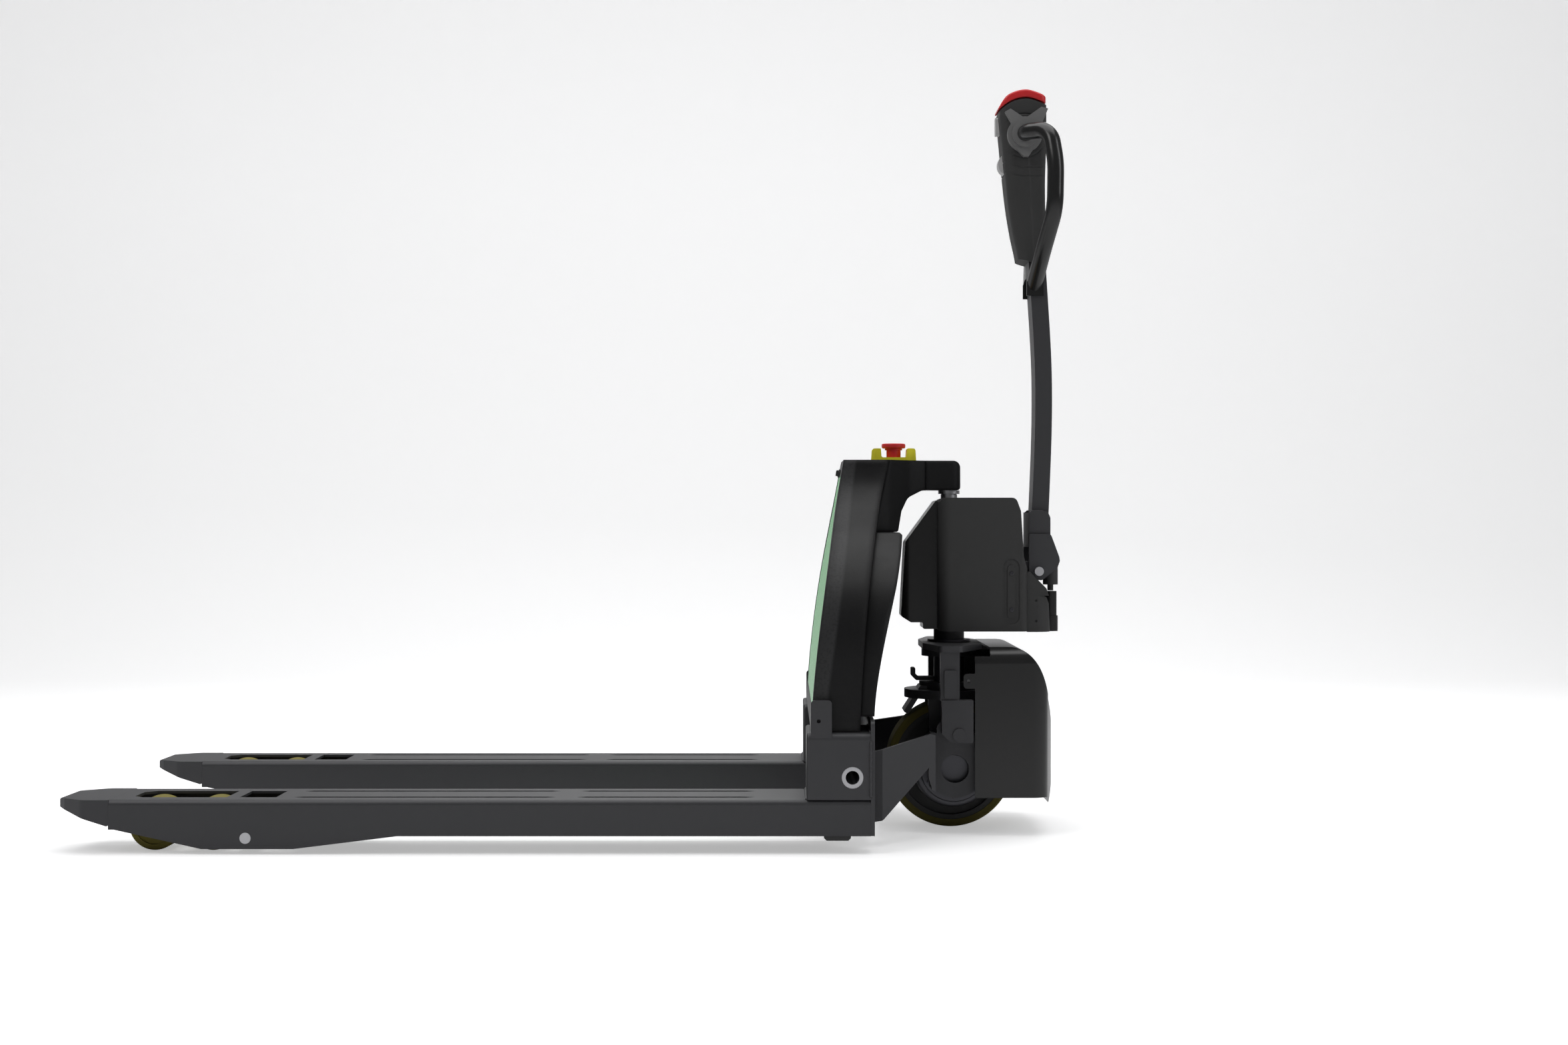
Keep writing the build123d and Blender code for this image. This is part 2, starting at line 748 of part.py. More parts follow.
def neck_cap():
    """Rounded end cap over the top of the lifting rod."""
    side_face = outline(
        [
            (steer_axis_x - 41, 560),
            (steer_axis_x + 18, 560),
            (steer_axis_x + 18, mast_top_z),
            (steer_axis_x - 41, mast_top_z),
        ],
        [0, 6, 13, 0],
    )
    plan = outline(
        [
            (steer_axis_x - 41, -neck_half_width - 1),
            (steer_axis_x + 18, -neck_half_width + 3),
            (steer_axis_x + 18, neck_half_width - 3),
            (steer_axis_x - 41, neck_half_width + 1),
        ],
        [0, 16, 16, 0],
    )
    body = upright(side_face, -100, 100) & level(plan, 400, 700)
    return body - pin_z(steer_axis_x, 0, rod_diameter - 2 + 2 * fixed_gap, 500, 596)


def piston_rod():
    """Lifting rod, fixed in the neck cap, that slides in the cylinder."""
    rod = pin_z(steer_axis_x, 0, rod_diameter, 395, 553)
    rod = rod + pin_z(steer_axis_x, 0, rod_diameter - 2, 553, 596 - fixed_gap)
    return rod + pin_z(steer_axis_x, 0, rod_diameter + 8, 554, 560 - fixed_gap)


def estop_guard():
    """Saddle-shaped guard with a broad hump at each end of the stop button."""
    inner = estop_diameter / 2 + 1.0
    face = outline(
        [
            (estop_x - 37.5, mast_top_z + fixed_gap),
            (estop_x + 37.5, mast_top_z + fixed_gap),
            (estop_x + 36, mast_top_z + estop_hump),
            (estop_x + inner + 1, mast_top_z + estop_hump),
            (estop_x + inner, mast_top_z + estop_guard_floor),
            (estop_x - inner, mast_top_z + estop_guard_floor),
            (estop_x - inner - 1, mast_top_z + estop_hump),
            (estop_x - 36, mast_top_z + estop_hump),
        ],
        [0, 0, 4, 2, 3, 3, 2, 4],
    )
    plan = Pos(estop_x, 0) * RectangleRounded(76, 44, 16)
    body = upright(face, -40, 40) & level(plan, mast_top_z - 1, mast_top_z + 30)
    return body - pin_z(estop_x, 0, estop_stem_diameter + 2 * body_gap, mast_top_z - 1, mast_top_z + 30)


def estop_button():
    """Red mushroom button on a wide stem that slides in the guard."""
    foot = mast_top_z + estop_travel + body_gap
    cap_z = foot + 16.0
    stem = pin_z(estop_x, 0, estop_stem_diameter, foot, cap_z + 1)
    collar = pin_z(estop_x, 0, estop_stem_diameter + 5, cap_z - 3, cap_z + 1)
    head = pin_z(estop_x, 0, estop_diameter, cap_z, cap_z + 8)
    head = fillet(head.edges().filter_by(GeomType.CIRCLE), 2.5)
    return stem + collar + head


def key_knob():
    """Key switch knob near the top of the mast's front, square to its leaning face."""
    disc = pin_z(0, 0, key_diameter, 0, 3)
    grip = bar(-key_diameter / 2 + 2, key_diameter / 2 - 2, -2.5, 2.5, 2, 7)
    grip = fillet(grip.edges().filter_by(Axis.Y).group_by(Axis.Z)[-1], 1.5)
    return Pos(key_x, 0, key_z) * Rot(0, -90 + key_lean, 0) * (disc + grip)


# ---- carriage over the drive wheel --------------------------------------------------------
def carriage_frame():
    """Bridge over the drive wheel: a flange for the steering bearing and a leg on each side."""
    reach = leg_y + leg_thickness + 3
    flange = level(
        outline(
            [
                (steer_axis_x - 48, -62),
                (steer_axis_x - 27, -reach),
                (steer_axis_x + 10, -reach),
                (steer_axis_x + 50, -62),
                (steer_axis_x + 50, 62),
                (steer_axis_x + 10, reach),
                (steer_axis_x - 27, reach),
                (steer_axis_x - 48, 62),
            ],
            [20, 8, 8, 20, 20, 8, 8, 20],
        ),
        flange_bottom_z,
        flange_top_z,
    )
    boss = pin_z(steer_axis_x, 0, 92, flange_bottom_z - 14, flange_bottom_z + 1)
    flange = flange + boss
    outer_y = leg_y + leg_thickness
    leg = bar(steer_axis_x - 25, steer_axis_x + 6, leg_y, outer_y, 219, flange_bottom_z + 1)
    rib = bar(steer_axis_x - 19, steer_axis_x + 1, outer_y - 1, outer_y + 5, 223, 268)
    rib = fillet(rib.edges().filter_by(Axis.Y), 4.0)
    box = upright(
        outline(
            [
                (steer_axis_x - 23, 220),
                (steer_axis_x - 23, leg_bottom_z + 15),
                (steer_axis_x - 8, leg_bottom_z),
                (steer_axis_x + 28, leg_bottom_z),
                (steer_axis_x + 28, 220),
            ],
            [2, 3, 3, 4, 2],
        ),
        leg_y,
        outer_y + 3,
    )
    body = flange + both_sides(leg + rib + box)
    seat = bearing_diameter + 2 * fixed_gap
    body = body - pin_z(steer_axis_x, 0, seat, flange_bottom_z - 20, flange_top_z + 1)
    return body - pin_y(trunnion_x, trunnion_z, trunnion_diameter + 2 * fixed_gap, -200, 200)


def steering_bearing():
    """Bearing ring between the carriage's flange and the steering column."""
    bore = column_diameter + 2 * running_fit
    ring = pin_z(steer_axis_x, 0, bearing_diameter, flange_bottom_z - 14, flange_top_z + 4)
    return ring - pin_z(steer_axis_x, 0, bore, flange_bottom_z - 20, flange_top_z + 10)


def trunnion_pins():
    """Pins at the legs' lower ends, which carry the rocker."""
    outer_y = leg_y + leg_thickness
    pin = pin_y(trunnion_x, trunnion_z, trunnion_diameter, hub_plate_y, outer_y + 5)
    head = pin_y(trunnion_x, trunnion_z, trunnion_diameter + 6, outer_y + 3.2, outer_y + 6)
    return both_sides(pin + head)


def shroud_space(inset):
    """The dome's outer form, drawn in by inset."""
    crown_z = flange_bottom_z + 7
    side_line = Spline(
        (steer_axis_x + 88, crown_z - inset),
        (steer_axis_x + 120 - inset * 0.6, crown_z - 12 - inset),
        (steer_axis_x + 141 - inset, crown_z - 43),
        (steer_axis_x + 155 - inset, crown_z - 90),
        (shroud_rear_x - inset, crown_z - 160),
        (shroud_rear_x - 2 - inset, 96),
        (shroud_rear_x - 13 - inset, 50),
        tangents=[(1, 0), (-0.4, -1)],
    )
    under = ThreePointArc(
        (shroud_rear_x - 13 - inset, 50), (shroud_rear_x - 70, 46), (steer_axis_x + 31 - inset, 57)
    )
    front = Line((steer_axis_x + 31 - inset, 57), (steer_axis_x + 31 - inset, crown_z - inset))
    top = Line((steer_axis_x + 31 - inset, crown_z - inset), (steer_axis_x + 88, crown_z - inset))
    face = make_face(Wire([side_line.edge(), under.edge(), front.edge(), top.edge()]))
    half = shroud_half_width - inset
    corner_x = shroud_rear_x - 48
    tail_corner = (shroud_rear_x - 16 - inset, half - 33)
    near_corner = (shroud_rear_x - 16 - inset, -half + 33)
    bend = ThreePointArc((corner_x, -half), (corner_x + 24, -half + 8), near_corner)
    rear = ThreePointArc(near_corner, (shroud_rear_x + 1 - inset, 0), tail_corner)
    other = ThreePointArc(tail_corner, (corner_x + 24, half - 8), (corner_x, half))
    mouth_x = steer_axis_x + 20
    open_end = Polyline((corner_x, half), (mouth_x, half), (mouth_x, -half), (corner_x, -half))
    plan = make_face(Wire([bend.edge(), rear.edge(), other.edge(), *open_end.edges()]))
    face_view = Pos(0, (crown_z - inset) / 2) * Rectangle(2 * half, crown_z - inset)
    face_view = fillet(face_view.vertices().group_by(Axis.Y)[-1], 26.0 - inset)
    return upright(face, -400, 400) & level(plan, 0, 400) & frontal(face_view, 0, 600)


def drive_shroud():
    """Glossy dome behind the drive wheel, open below and in front, with a tab at each side."""
    body = shroud_space(0) - shroud_space(shroud_wall)
    body = body - bar(0, shroud_rear_x - 14, -300, 300, 0, 62)
    body = body - pin_z(steer_axis_x, 0, 110, 200, 400)
    body = body - level(Pos(steer_axis_x + 20, 0) * Rectangle(72, 2 * (leg_y + leg_thickness + 4)), 290, 400)
    tab = upright(
        outline([(255.0, 238), (280.0, 238), (280.0, 262), (255.0, 262)], [6, 0, 0, 6]),
        shroud_half_width - shroud_wall,
        shroud_half_width,
    )
    tab = tab - pin_y(263.0, 250, 6, 0, 300)
    return body + both_sides(tab)


# ---- drive unit that steers ---------------------------------------------------------------
def wheel_bracket():
    """Steering column with its crown and the two cheeks that hold the axle."""
    crown_low = drive_wheel_diameter + 4
    column = pin_z(steer_axis_x, 0, column_diameter, crown_low + 2, housing_bottom_z + 2)
    crown = pin_z(steer_axis_x, 0, 150, crown_low, crown_low + 14)
    collar = pin_z(steer_axis_x, 0, 100, crown_low + 13, crown_low + 26)
    cheek_y = drive_wheel_width / 2 + 3
    cheek = upright(
        outline(
            [
                (steer_axis_x - 38, crown_low + 2),
                (steer_axis_x + 38, crown_low + 2),
                (steer_axis_x + 34, wheel_z),
                (steer_axis_x + 18, wheel_z - 34),
                (steer_axis_x - 18, wheel_z - 34),
                (steer_axis_x - 34, wheel_z),
            ],
            [0, 0, 20, 14, 14, 20],
        ),
        cheek_y,
        cheek_y + cheek_thickness,
    )
    fender = upright(
        outline(
            [
                (steer_axis_x - 78, wheel_z + 86),
                (steer_axis_x - 50, crown_low + 20),
                (steer_axis_x - 28, crown_low + 20),
                (steer_axis_x - 28, crown_low + 11),
                (steer_axis_x - 46, crown_low + 11),
                (steer_axis_x - 70, wheel_z + 82),
            ],
            [2, 4, 0, 0, 2, 2],
        ),
        -32,
        32,
    )
    body = column + crown + collar + fender + both_sides(cheek)
    body = body - pin_z(steer_axis_x, 0, 24, 0, 400)
    return body - pin_y(steer_axis_x, wheel_z, axle_diameter + 2 * fixed_gap, -100, 100)


def wheel_axle():
    """Axle through the drive wheel, with a nut on its far end."""
    reach = drive_wheel_width / 2 + 3 + cheek_thickness
    axle = pin_y(steer_axis_x, wheel_z, axle_diameter, -reach - 1, reach + 20)
    nut = upright(
        Pos(steer_axis_x, wheel_z) * RegularPolygon(18, 6), reach + 0.2, reach + 14
    )
    return axle + nut


def drive_motor():
    """Hub motor on the left cheek, turned down in a step."""
    inner = drive_wheel_width / 2 + 3 + cheek_thickness + fixed_gap
    body = pin_y(steer_axis_x, wheel_z, 130, -97, -inner)
    body = fillet(body.edges().filter_by(GeomType.CIRCLE).group_by(Axis.Y)[0], 6.0)
    for step in range(3):
        y = -60.0 - 11.0 * step
        groove = pin_y(steer_axis_x, wheel_z, 140, y - 3, y) - pin_y(steer_axis_x, wheel_z, 122, y - 4, y + 1)
        body = body - groove
    return body - pin_y(steer_axis_x, wheel_z, axle_diameter + 4, -inner - 6, -inner + 1)


def motor_cap():
    """Round end cap of the motor with its ring of screws."""
    cap = pin_y(steer_axis_x, wheel_z, 110, -108, -97 - fixed_gap)
    cap = fillet(cap.edges().filter_by(GeomType.CIRCLE).group_by(Axis.Y)[0], 2.5)
    cap = cap + pin_y(steer_axis_x, wheel_z, 44, -112, -107)
    for turn in range(6):
        angle = radians(30 + 60 * turn)
        cap = cap + pin_y(steer_axis_x + 46 * cos(angle), wheel_z + 46 * sin(angle), 9, -111, -107)
    return cap


def drive_rim():
    """Wheel centre with its bearing bore and lightening holes."""
    half = drive_wheel_width / 2
    outer = drive_wheel_diameter - 2 * tyre_thickness - 2 * fixed_gap
    body = pin_y(steer_axis_x, wheel_z, outer, -half + 1, half - 1)
    for face_side in (-1, 1):
        low, high = sorted((face_side * (half - 12), face_side * (half + 1)))
        dish = pin_y(steer_axis_x, wheel_z, outer - 16, low, high)
        dish = dish - pin_y(steer_axis_x, wheel_z, 54, low - 1, high + 1)
        body = body - dish
    for turn in range(6):
        angle = radians(60 * turn)
        x = steer_axis_x + 56 * cos(angle)
        z = wheel_z + 56 * sin(angle)
        body = body - pin_y(x, z, 22, -half - 1, half + 1)
    return body - pin_y(steer_axis_x, wheel_z, axle_diameter + 2 * running_fit, -half - 1, half + 1)


def drive_tyre():
    """Moulded tyre on the drive wheel."""
    half = drive_wheel_width / 2
    body = pin_y(steer_axis_x, wheel_z, drive_wheel_diameter, -half, half)
    body = fillet(body.edges().filter_by(GeomType.CIRCLE), 5.0)
    return body - pin_y(steer_axis_x, wheel_z, drive_wheel_diameter - 2 * tyre_thickness, -half - 1, half + 1)


def lift_cylinder():
    """Hydraulic cylinder whose bore guides the lifting rod."""
    body = pin_z(steer_axis_x, 0, cylinder_diameter, housing_bottom_z + 8, housing_top_z - 20)
    return body - pin_z(steer_axis_x, 0, rod_diameter + 2 * running_fit, 365, 600)


def pump_motor():
    """Pump motor and tank beside the cylinder, on one foot plate."""
    foot_half = housing_half_width - housing_wall - 8
    floor_z = housing_bottom_z + housing_wall + 0.2
    top_z = housing_bottom_z + 8
    foot = bar(steer_axis_x - 12, steer_axis_x + 112, -foot_half, foot_half, floor_z, top_z)
    foot = foot - pin_z(steer_axis_x, 0, cylinder_diameter + 0.4, 0, 600)
    motor = pin_z(steer_axis_x + 78, 0, 66, top_z - 1, 440)
    motor = motor + pin_z(steer_axis_x + 78, 0, 74, top_z - 1, top_z + 22)
    link_x = steer_axis_x + cylinder_diameter / 2 + 1
    link = bar(link_x, steer_axis_x + 60, -14, 14, top_z - 1, top_z + 32)
    return foot + motor + link


def housing_side_points(inset):
    """Side view of the main housing, drawn in by inset."""
    return [
        (housing_front_x + inset, housing_bottom_z + inset),
        (housing_front_x + inset, housing_top_z - inset),
        (housing_rear_x - 19 - inset, housing_top_z - inset),
        (housing_rear_x - 11 - inset, housing_top_z - 22),
        (housing_rear_x - 6 - inset, housing_top_z - 98),
        (housing_rear_x - inset, housing_top_z - 117),
        (housing_rear_x - inset, housing_bottom_z + inset),
    ]


def housing_space(inset):
    """The main housing's form, drawn in by inset."""
    side_face = outline(housing_side_points(inset), [4, 14, 10, 6, 10, 6, 4])
    half = housing_half_width - inset
    plan = outline(
        [
            (housing_front_x + inset, -half),
            (housing_rear_x + 1 - inset, -half),
            (housing_rear_x + 1 - inset, half),
            (housing_front_x + inset, half),
        ],
        [20 - inset, 12 - inset, 12 - inset, 20 - inset],
    )
    return upright(side_face, -200, 200) & level(plan, 200, 700)


def housing_shell():
    """Main cover over the hydraulic unit, with an oblong recess on each side."""
    body = housing_space(0) - housing_space(housing_wall)
    recess = slot_face(housing_rear_x - 26.5, 392, 108, 27, 90)
    island = slot_face(housing_rear_x - 26.5, 392, 88, 13, 90)
    pocket = upright(recess - island, housing_half_width - 1.5, housing_half_width + 1)
    body = body - both_sides(pocket)
    body = body - pin_z(steer_axis_x, 0, rod_diameter + 8, housing_top_z - 8, housing_top_z + 1)
    body = body - pin_z(steer_axis_x, 0, column_diameter + 2, housing_bottom_z - 1, housing_bottom_z + 5)
    return body


def rear_cover_space(inset):
    """The rear cover's form, drawn in by inset."""
    joint_x = housing_rear_x + body_gap / 2
    back_x = rear_cover_x - inset
    points = [
        (joint_x, housing_bottom_z - 1 + inset),
        (joint_x, 409 - inset * 1.4),
        (back_x - 22, 391 - inset),
        (back_x - 7, 382 - inset),
        (back_x - 3, 372 - inset),
        (back_x, housing_bottom_z - 1 + inset),
    ]
    half = rear_cover_half_width - inset
    plan = outline(
        [(joint_x - 5, -half), (back_x, -half), (back_x, half), (joint_x - 5, half)],
        [0, 24 - inset, 24 - inset, 0],
    )
    return upright(outline(points), -200, 200) & level(plan, 200, 700)


def housing_rear_cover():
    """Cover behind the hydraulic unit, slanted under the tiller and grooved for the gas spring."""
    body = rear_cover_space(0) - rear_cover_space(housing_wall)
    joint_x = housing_rear_x + body_gap / 2
    cheek = upright(
        outline(
            [
                (joint_x, tiller_pivot_z - 40),
                (joint_x, tiller_pivot_z + 4),
                (rear_cover_x - 8, tiller_pivot_z - 28),
                (rear_cover_x - 4, tiller_pivot_z - 40),
            ],
            [0, 3, 8, 0],
        ),
        tiller_bracket_half_width + tiller_bracket_plate + side_play,
        rear_cover_half_width,
    )
    body = body + both_sides(cheek)
    mouth = rear_cover_half_width - 12
    body = body - bar(housing_rear_x - 5, housing_rear_x + 3, -mouth, mouth, housing_bottom_z + 6, 396)
    body = body - pin_z(gas_spring_x, 0, gas_spring_diameter + 3, 200, 600)
    for z in (343, 377):
        body = body - pin_y(steer_axis_x + 140, z, 4, -100, -rear_cover_half_width + 2)
    return body


def housing_front_cover():
    """Narrow cover in front of the cylinder, slanted above and stepped below."""
    joint_x = housing_front_x - 0.2
    points = [
        (joint_x, housing_bottom_z + 3),
        (joint_x - 23.8, housing_bottom_z + 3),
        (joint_x - 23.8, housing_bottom_z + 14),
        (joint_x - 43.8, housing_bottom_z + 14),
        (joint_x - 60, housing_bottom_z + 24),
        (joint_x - 53, housing_top_z - 73),
        (joint_x - 3, housing_top_z - 5),
        (joint_x, housing_top_z - 4),
    ]
    side_face = outline(points, [0, 3, 3, 3, 6, 12, 2, 0])
    half = front_cover_half_width
    plan = outline(
        [(joint_x + 0.2, -half), (joint_x - 61, -half), (joint_x - 61, half), (joint_x + 0.2, half)],
        [0, 16, 16, 0],
    )
    body = upright(side_face, -100, 100) & level(plan, 200, 700)
    hollow_top = housing_top_z - 60
    return body - bar(joint_x - 42, joint_x + 2, -half + 4, half - 4, housing_bottom_z + 20, hollow_top)


def tiller_lug():
    """Cast lug on the hydraulic unit that holds the tiller's pivot pin."""
    face = outline(
        [
            (housing_rear_x + body_gap, tiller_pivot_z - 15.5),
            (tiller_pivot_x + 2, tiller_pivot_z - 13.5),
            (tiller_pivot_x + 11, tiller_pivot_z - 7),
            (tiller_pivot_x + 11, tiller_pivot_z + 9),
            (tiller_pivot_x - 4, tiller_pivot_z + 16),
            (housing_rear_x + body_gap, tiller_pivot_z + 16),
        ],
        [0, 3, 9, 9, 6, 0],
    )
    body = upright(face, -tiller_lug_half, tiller_lug_half)
    return body - pin_y(tiller_pivot_x, tiller_pivot_z, tiller_pin_diameter + 2 * fixed_gap, -100, 100)


def tiller_pin():
    """Pin that the tiller tilts on."""
    reach = tiller_bracket_half_width + 2 * tiller_bracket_plate + 2
    return pin_y(tiller_pivot_x, tiller_pivot_z, tiller_pin_diameter, -reach, reach)


def gas_spring_tube():
    """Pressure tube of the gas spring behind the housing."""
    body = pin_z(gas_spring_x, 0, gas_spring_diameter, housing_bottom_z - 2, 350)
    body = body + pin_z(gas_spring_x, 0, gas_tube_diameter, 349, 391)
    return body - pin_z(gas_spring_x, 0, gas_rod_diameter + 2 * running_fit, 352, 400)


def gas_spring_rod():
    """Rod of the gas spring under its sliding sleeve."""
    sleeve = pin_z(gas_spring_x, 0, gas_spring_diameter, 402, 438)
    sleeve = sleeve - pin_z(gas_spring_x, 0, gas_tube_diameter + 1.4, 401, 432)
    rod = pin_z(gas_spring_x, 0, gas_rod_diameter, 392, 434)
    return sleeve + rod


def cable_clip():
    """Hooked cable guide and hose union at the front of the column."""
    hook = upright(
        outline(
            [
                (steer_axis_x - 64, 263),
                (steer_axis_x - 64, 250),
                (steer_axis_x - 56, 242),
                (steer_axis_x - 26, 242),
                (steer_axis_x - 26, 248),
                (steer_axis_x - 52, 248),
                (steer_axis_x - 57, 253),
                (steer_axis_x - 57, 263),
            ],
            [2, 4, 4, 0, 0, 3, 3, 2],
        ),
        -13,
        13,
    )
    clear = pin_z(steer_axis_x, 0, column_diameter + 2 * fixed_gap, 0, 400)
    return hook - clear


# ---- tiller -------------------------------------------------------------------------------
def tiller_bracket():
    """Forked bracket at the tiller's foot, stepped out round the pivot lug."""
    px = tiller_pivot_x
    pz = tiller_pivot_z
    half = tiller_bracket_half_width
    step = tiller_bracket_plate
    upper = outline(
        [
            (px - 15, pz + 40),
            (px + 20, pz + 40),
            (px + 20, pz + 89),
            (px + 15, pz + 100),
            (px - 15, pz + 100),
        ],
        [0, 0, 6, 6, 4],
    )
    lower = outline(
        [
            (px - 16, pz + 62),
            (px + 20, pz + 62),
            (px + 34, pz + 24),
            (px + 35, pz + 17),
            (px + 31, pz + 6),
            (px + 18, pz - 5),
            (px + 6, pz - 15),
            (px - 8, pz - 14),
            (px - 16, pz - 2),
        ],
        [2, 6, 6, 4, 6, 8, 8, 8, 6],
    )
    cheek = upright(upper, half - step, half + 0.5) + upright(lower, half, half + step)
    spine = bar(px - 16.5, px - 12.5, -half, half, pz + 40, pz + 98)
    foot = bar(px - 15, px + 18, -half, half, pz + 44, pz + 50)
    body = both_sides(cheek) + spine + foot
    body = body + pin_y(gas_spring_x, 446.5, 12, -half - 1, half + 1)
    bore = tiller_pin_diameter + 2 * running_fit
    return body - pin_y(px, pz, bore, -100, 100)


def tiller_tube_space(inset):
    """The bowed tube's form, drawn in by inset."""
    foot_x = tiller_pivot_x + 2.5
    foot_z = tiller_pivot_z + 51.0
    middle = [
        (foot_x, foot_z),
        (foot_x + 3.5, foot_z + 84.0),
        (foot_x + 6.8, foot_z + 174.0),
        (foot_x + 7.0, foot_z + 284.0),
        (foot_x + 2.5, foot_z + 374.0),
        (tube_top_x, 950.0),
    ]
    half_depth = tiller_tube_depth / 2 - inset
    front = Spline(*[(x - half_depth, z) for x, z in middle])
    rear = Spline(*[(x + half_depth, z) for x, z in middle])
    top = Line(front @ 1, rear @ 1)
    base = Line(front @ 0, rear @ 0)
    face = make_face(Wire([front.edge(), top.edge(), rear.edge(), base.edge()]))
    half = tiller_tube_width / 2 - inset
    return upright(face, -half, half)


def tiller_tube():
    """Gently bowed rectangular tube from the bracket up into the head."""
    return tiller_tube_space(0) - tiller_tube_space(tiller_tube_wall)


def head_crest(rise):
    """Points of the arched line over the head's top, raised by rise."""
    reaches = (322.0, 344.0, 366.0, 402.0)
    drops = (20.0, 5.5, 0.0, 10.0)
    return [(x, head_top_z - drop + rise) for x, drop in zip(reaches, drops)]


def head_plan(inset):
    """Plan view of the head, drawn in by inset."""
    half = head_half_width - inset
    points = [(320, -half), (404, -half), (404, half), (320, half)]
    return outline(points, [18 - inset, 10 - inset, 10 - inset, 18 - inset])


def head_space(inset):
    """The head's form, drawn in by inset."""
    crest = Spline(*head_crest(-inset))
    side_line = Spline((340.0 + inset, 1027.0), (347.0 + inset, 985.0), (355.5 + inset, 945.0 + inset))
    front = Line(crest @ 0 + (2.5 + inset, 0), side_line @ 0)
    crest_join = Line(crest @ 0, crest @ 0 + (2.5 + inset, 0))
    rear = Polyline(
        crest @ 1,
        (402.0 - inset, 1140.0),
        (400.0 - inset, 1080.0),
        (401.0 - inset, 1000.0),
        (398.0 - inset, 935.0 + inset),
        (355.5 + inset, 945.0 + inset),
    )
    face = make_face(Wire([side_line.edge(), front.edge(), crest_join.edge(), crest.edge(), *rear.edges()]))
    half = head_half_width - inset
    width = frontal(
        outline(
            [
                (-half + 4, 930),
                (half - 4, 930),
                (half - 4, 1030),
                (half, 1075),
                (half, head_top_z + 5),
                (-half, head_top_z + 5),
                (-half, 1075),
                (-half + 4, 1030),
            ],
            [6, 6, 40, 20, 0, 0, 20, 40],
        ),
        200,
        500,
    )
    return upright(face, -100, 100) & width & level(head_plan(inset), 800, 1300)


def head_shell():
    """Hollow tiller head that holds the controls."""
    body = head_space(0) - head_space(4.0)
    mouth_x = tiller_tube_depth / 2 + 8
    mouth_y = tiller_tube_width / 2 + fixed_gap
    body = body - bar(tube_top_x - mouth_x, tube_top_x + mouth_x, -mouth_y, mouth_y, 900, 955)
    body = body - pin_y(wing_axis_x, wing_axis_z, wing_sleeve_diameter + 2 * running_fit, -100, 100)
    body = body - level(button_boss_plan(body_gap), head_top_z - 40, head_top_z + 30)
    body = body - bar(300, 340, -9 - body_gap, 9 + body_gap, 1155 - body_gap, 1185 + body_gap)
    body = body - bar(300, 345, -13 - body_gap, 13 + body_gap, 1087 - body_gap, 1125 + body_gap)
    return body


def button_boss_plan(grow):
    """Plan of the belly button's guide, grown by a clearance."""
    return Pos(366, 0) * RectangleRounded(40 + 2 * grow, 50 + 2 * grow, 8 + grow)


def belly_button():
    """Arched safety button over the whole top of the head, with a guide below it."""
    gap = belly_travel + body_gap
    low = Spline(*head_crest(gap))
    high = Spline(*head_crest(gap + belly_thickness))
    front = Line(low @ 0, high @ 0)
    rear = Line(low @ 1, high @ 1)
    face = make_face(Wire([low.edge(), front.edge(), high.edge(), rear.edge()]))
    cap = upright(face, -60, 60) & level(head_plan(1.5), 1000, 1300)
    return cap + level(button_boss_plan(0), head_top_z - 22, head_top_z + gap + 2)


def throttle_wings():
    """Butterfly throttle: a sleeve on the loop's tube with a pronged wing at each end."""
    x = wing_axis_x
    z = wing_axis_z
    inner = head_half_width + side_play / 2
    disc = Pos(x, z) * Circle(wing_radius)
    prong = make_face(
        Polyline(
            (x - 20, z + 14),
            (x - 33, z + 37),
            (x - 24, z + 42),
            (x, z + 26),
            (x + 27, z + 45),
            (x + 38, z + 42),
            (x + 26, z + 12),
            (x + 16, z - 22),
            (x + 6, z - 37),
            (x - 2, z - 37),
            (x - 16, z - 22),
            close=True,
        )
    )
    wing = upright(disc + prong, inner, inner + 12)
    wing = wing + pin_y(x, z, 44, inner + 11, inner + 20)
    sleeve = pin_y(x, z, wing_sleeve_diameter, 0, inner + 2)
    body = both_sides(wing + sleeve)
    return body - pin_y(x, z, loop_tube_diameter + 2 * running_fit, -100, 100)


def horn_button():
    """Horn button on the face toward the load."""
    body = bar(320, 334, -9, 9, 1155, 1185)
    return fillet(body.edges().filter_by(Axis.X), 4.0)


def lift_switch():
    """Rocker switch for lift and lower."""
    body = pin_y(343, 1106, 38, -13, 13)
    keep = bar(323, 344, -13, 13, 1087.5, 1124.5)
    return body & keep


def handle_loop():
    """One tube: through the head, out and down on both sides, and back to the tiller tube."""
    out = loop_half_width
    x = wing_axis_x
    z = wing_axis_z
    path = FilletPolyline(
        (x, 0.0, z),
        (x, out - 54.0, z),
        (x + 34.0, out - 14.0, z - 3.0),
        (x + 41.5, out, z - 59.0),
        (x + 40.5, out - 2.0, z - 134.0),
        (x + 26.5, out - 51.0, z - 197.0),
        (x + 17.5, 12.0, z - 256.0),
        radius=[30.0, 34.0, 120.0, 70.0, 200.0],
    )
    start = Plane(origin=path @ 0, z_dir=path % 0)
    tube = sweep(start * Circle(loop_tube_diameter / 2), path=path)
    edge = tiller_tube_width / 2
    passage = bar(340, 430, -edge - fixed_gap, edge + fixed_gap, 860, 960)
    clamp = bar(370, 398, -edge - 4, edge + 4, 884, 908)
    return both_sides(tube) + clamp - passage


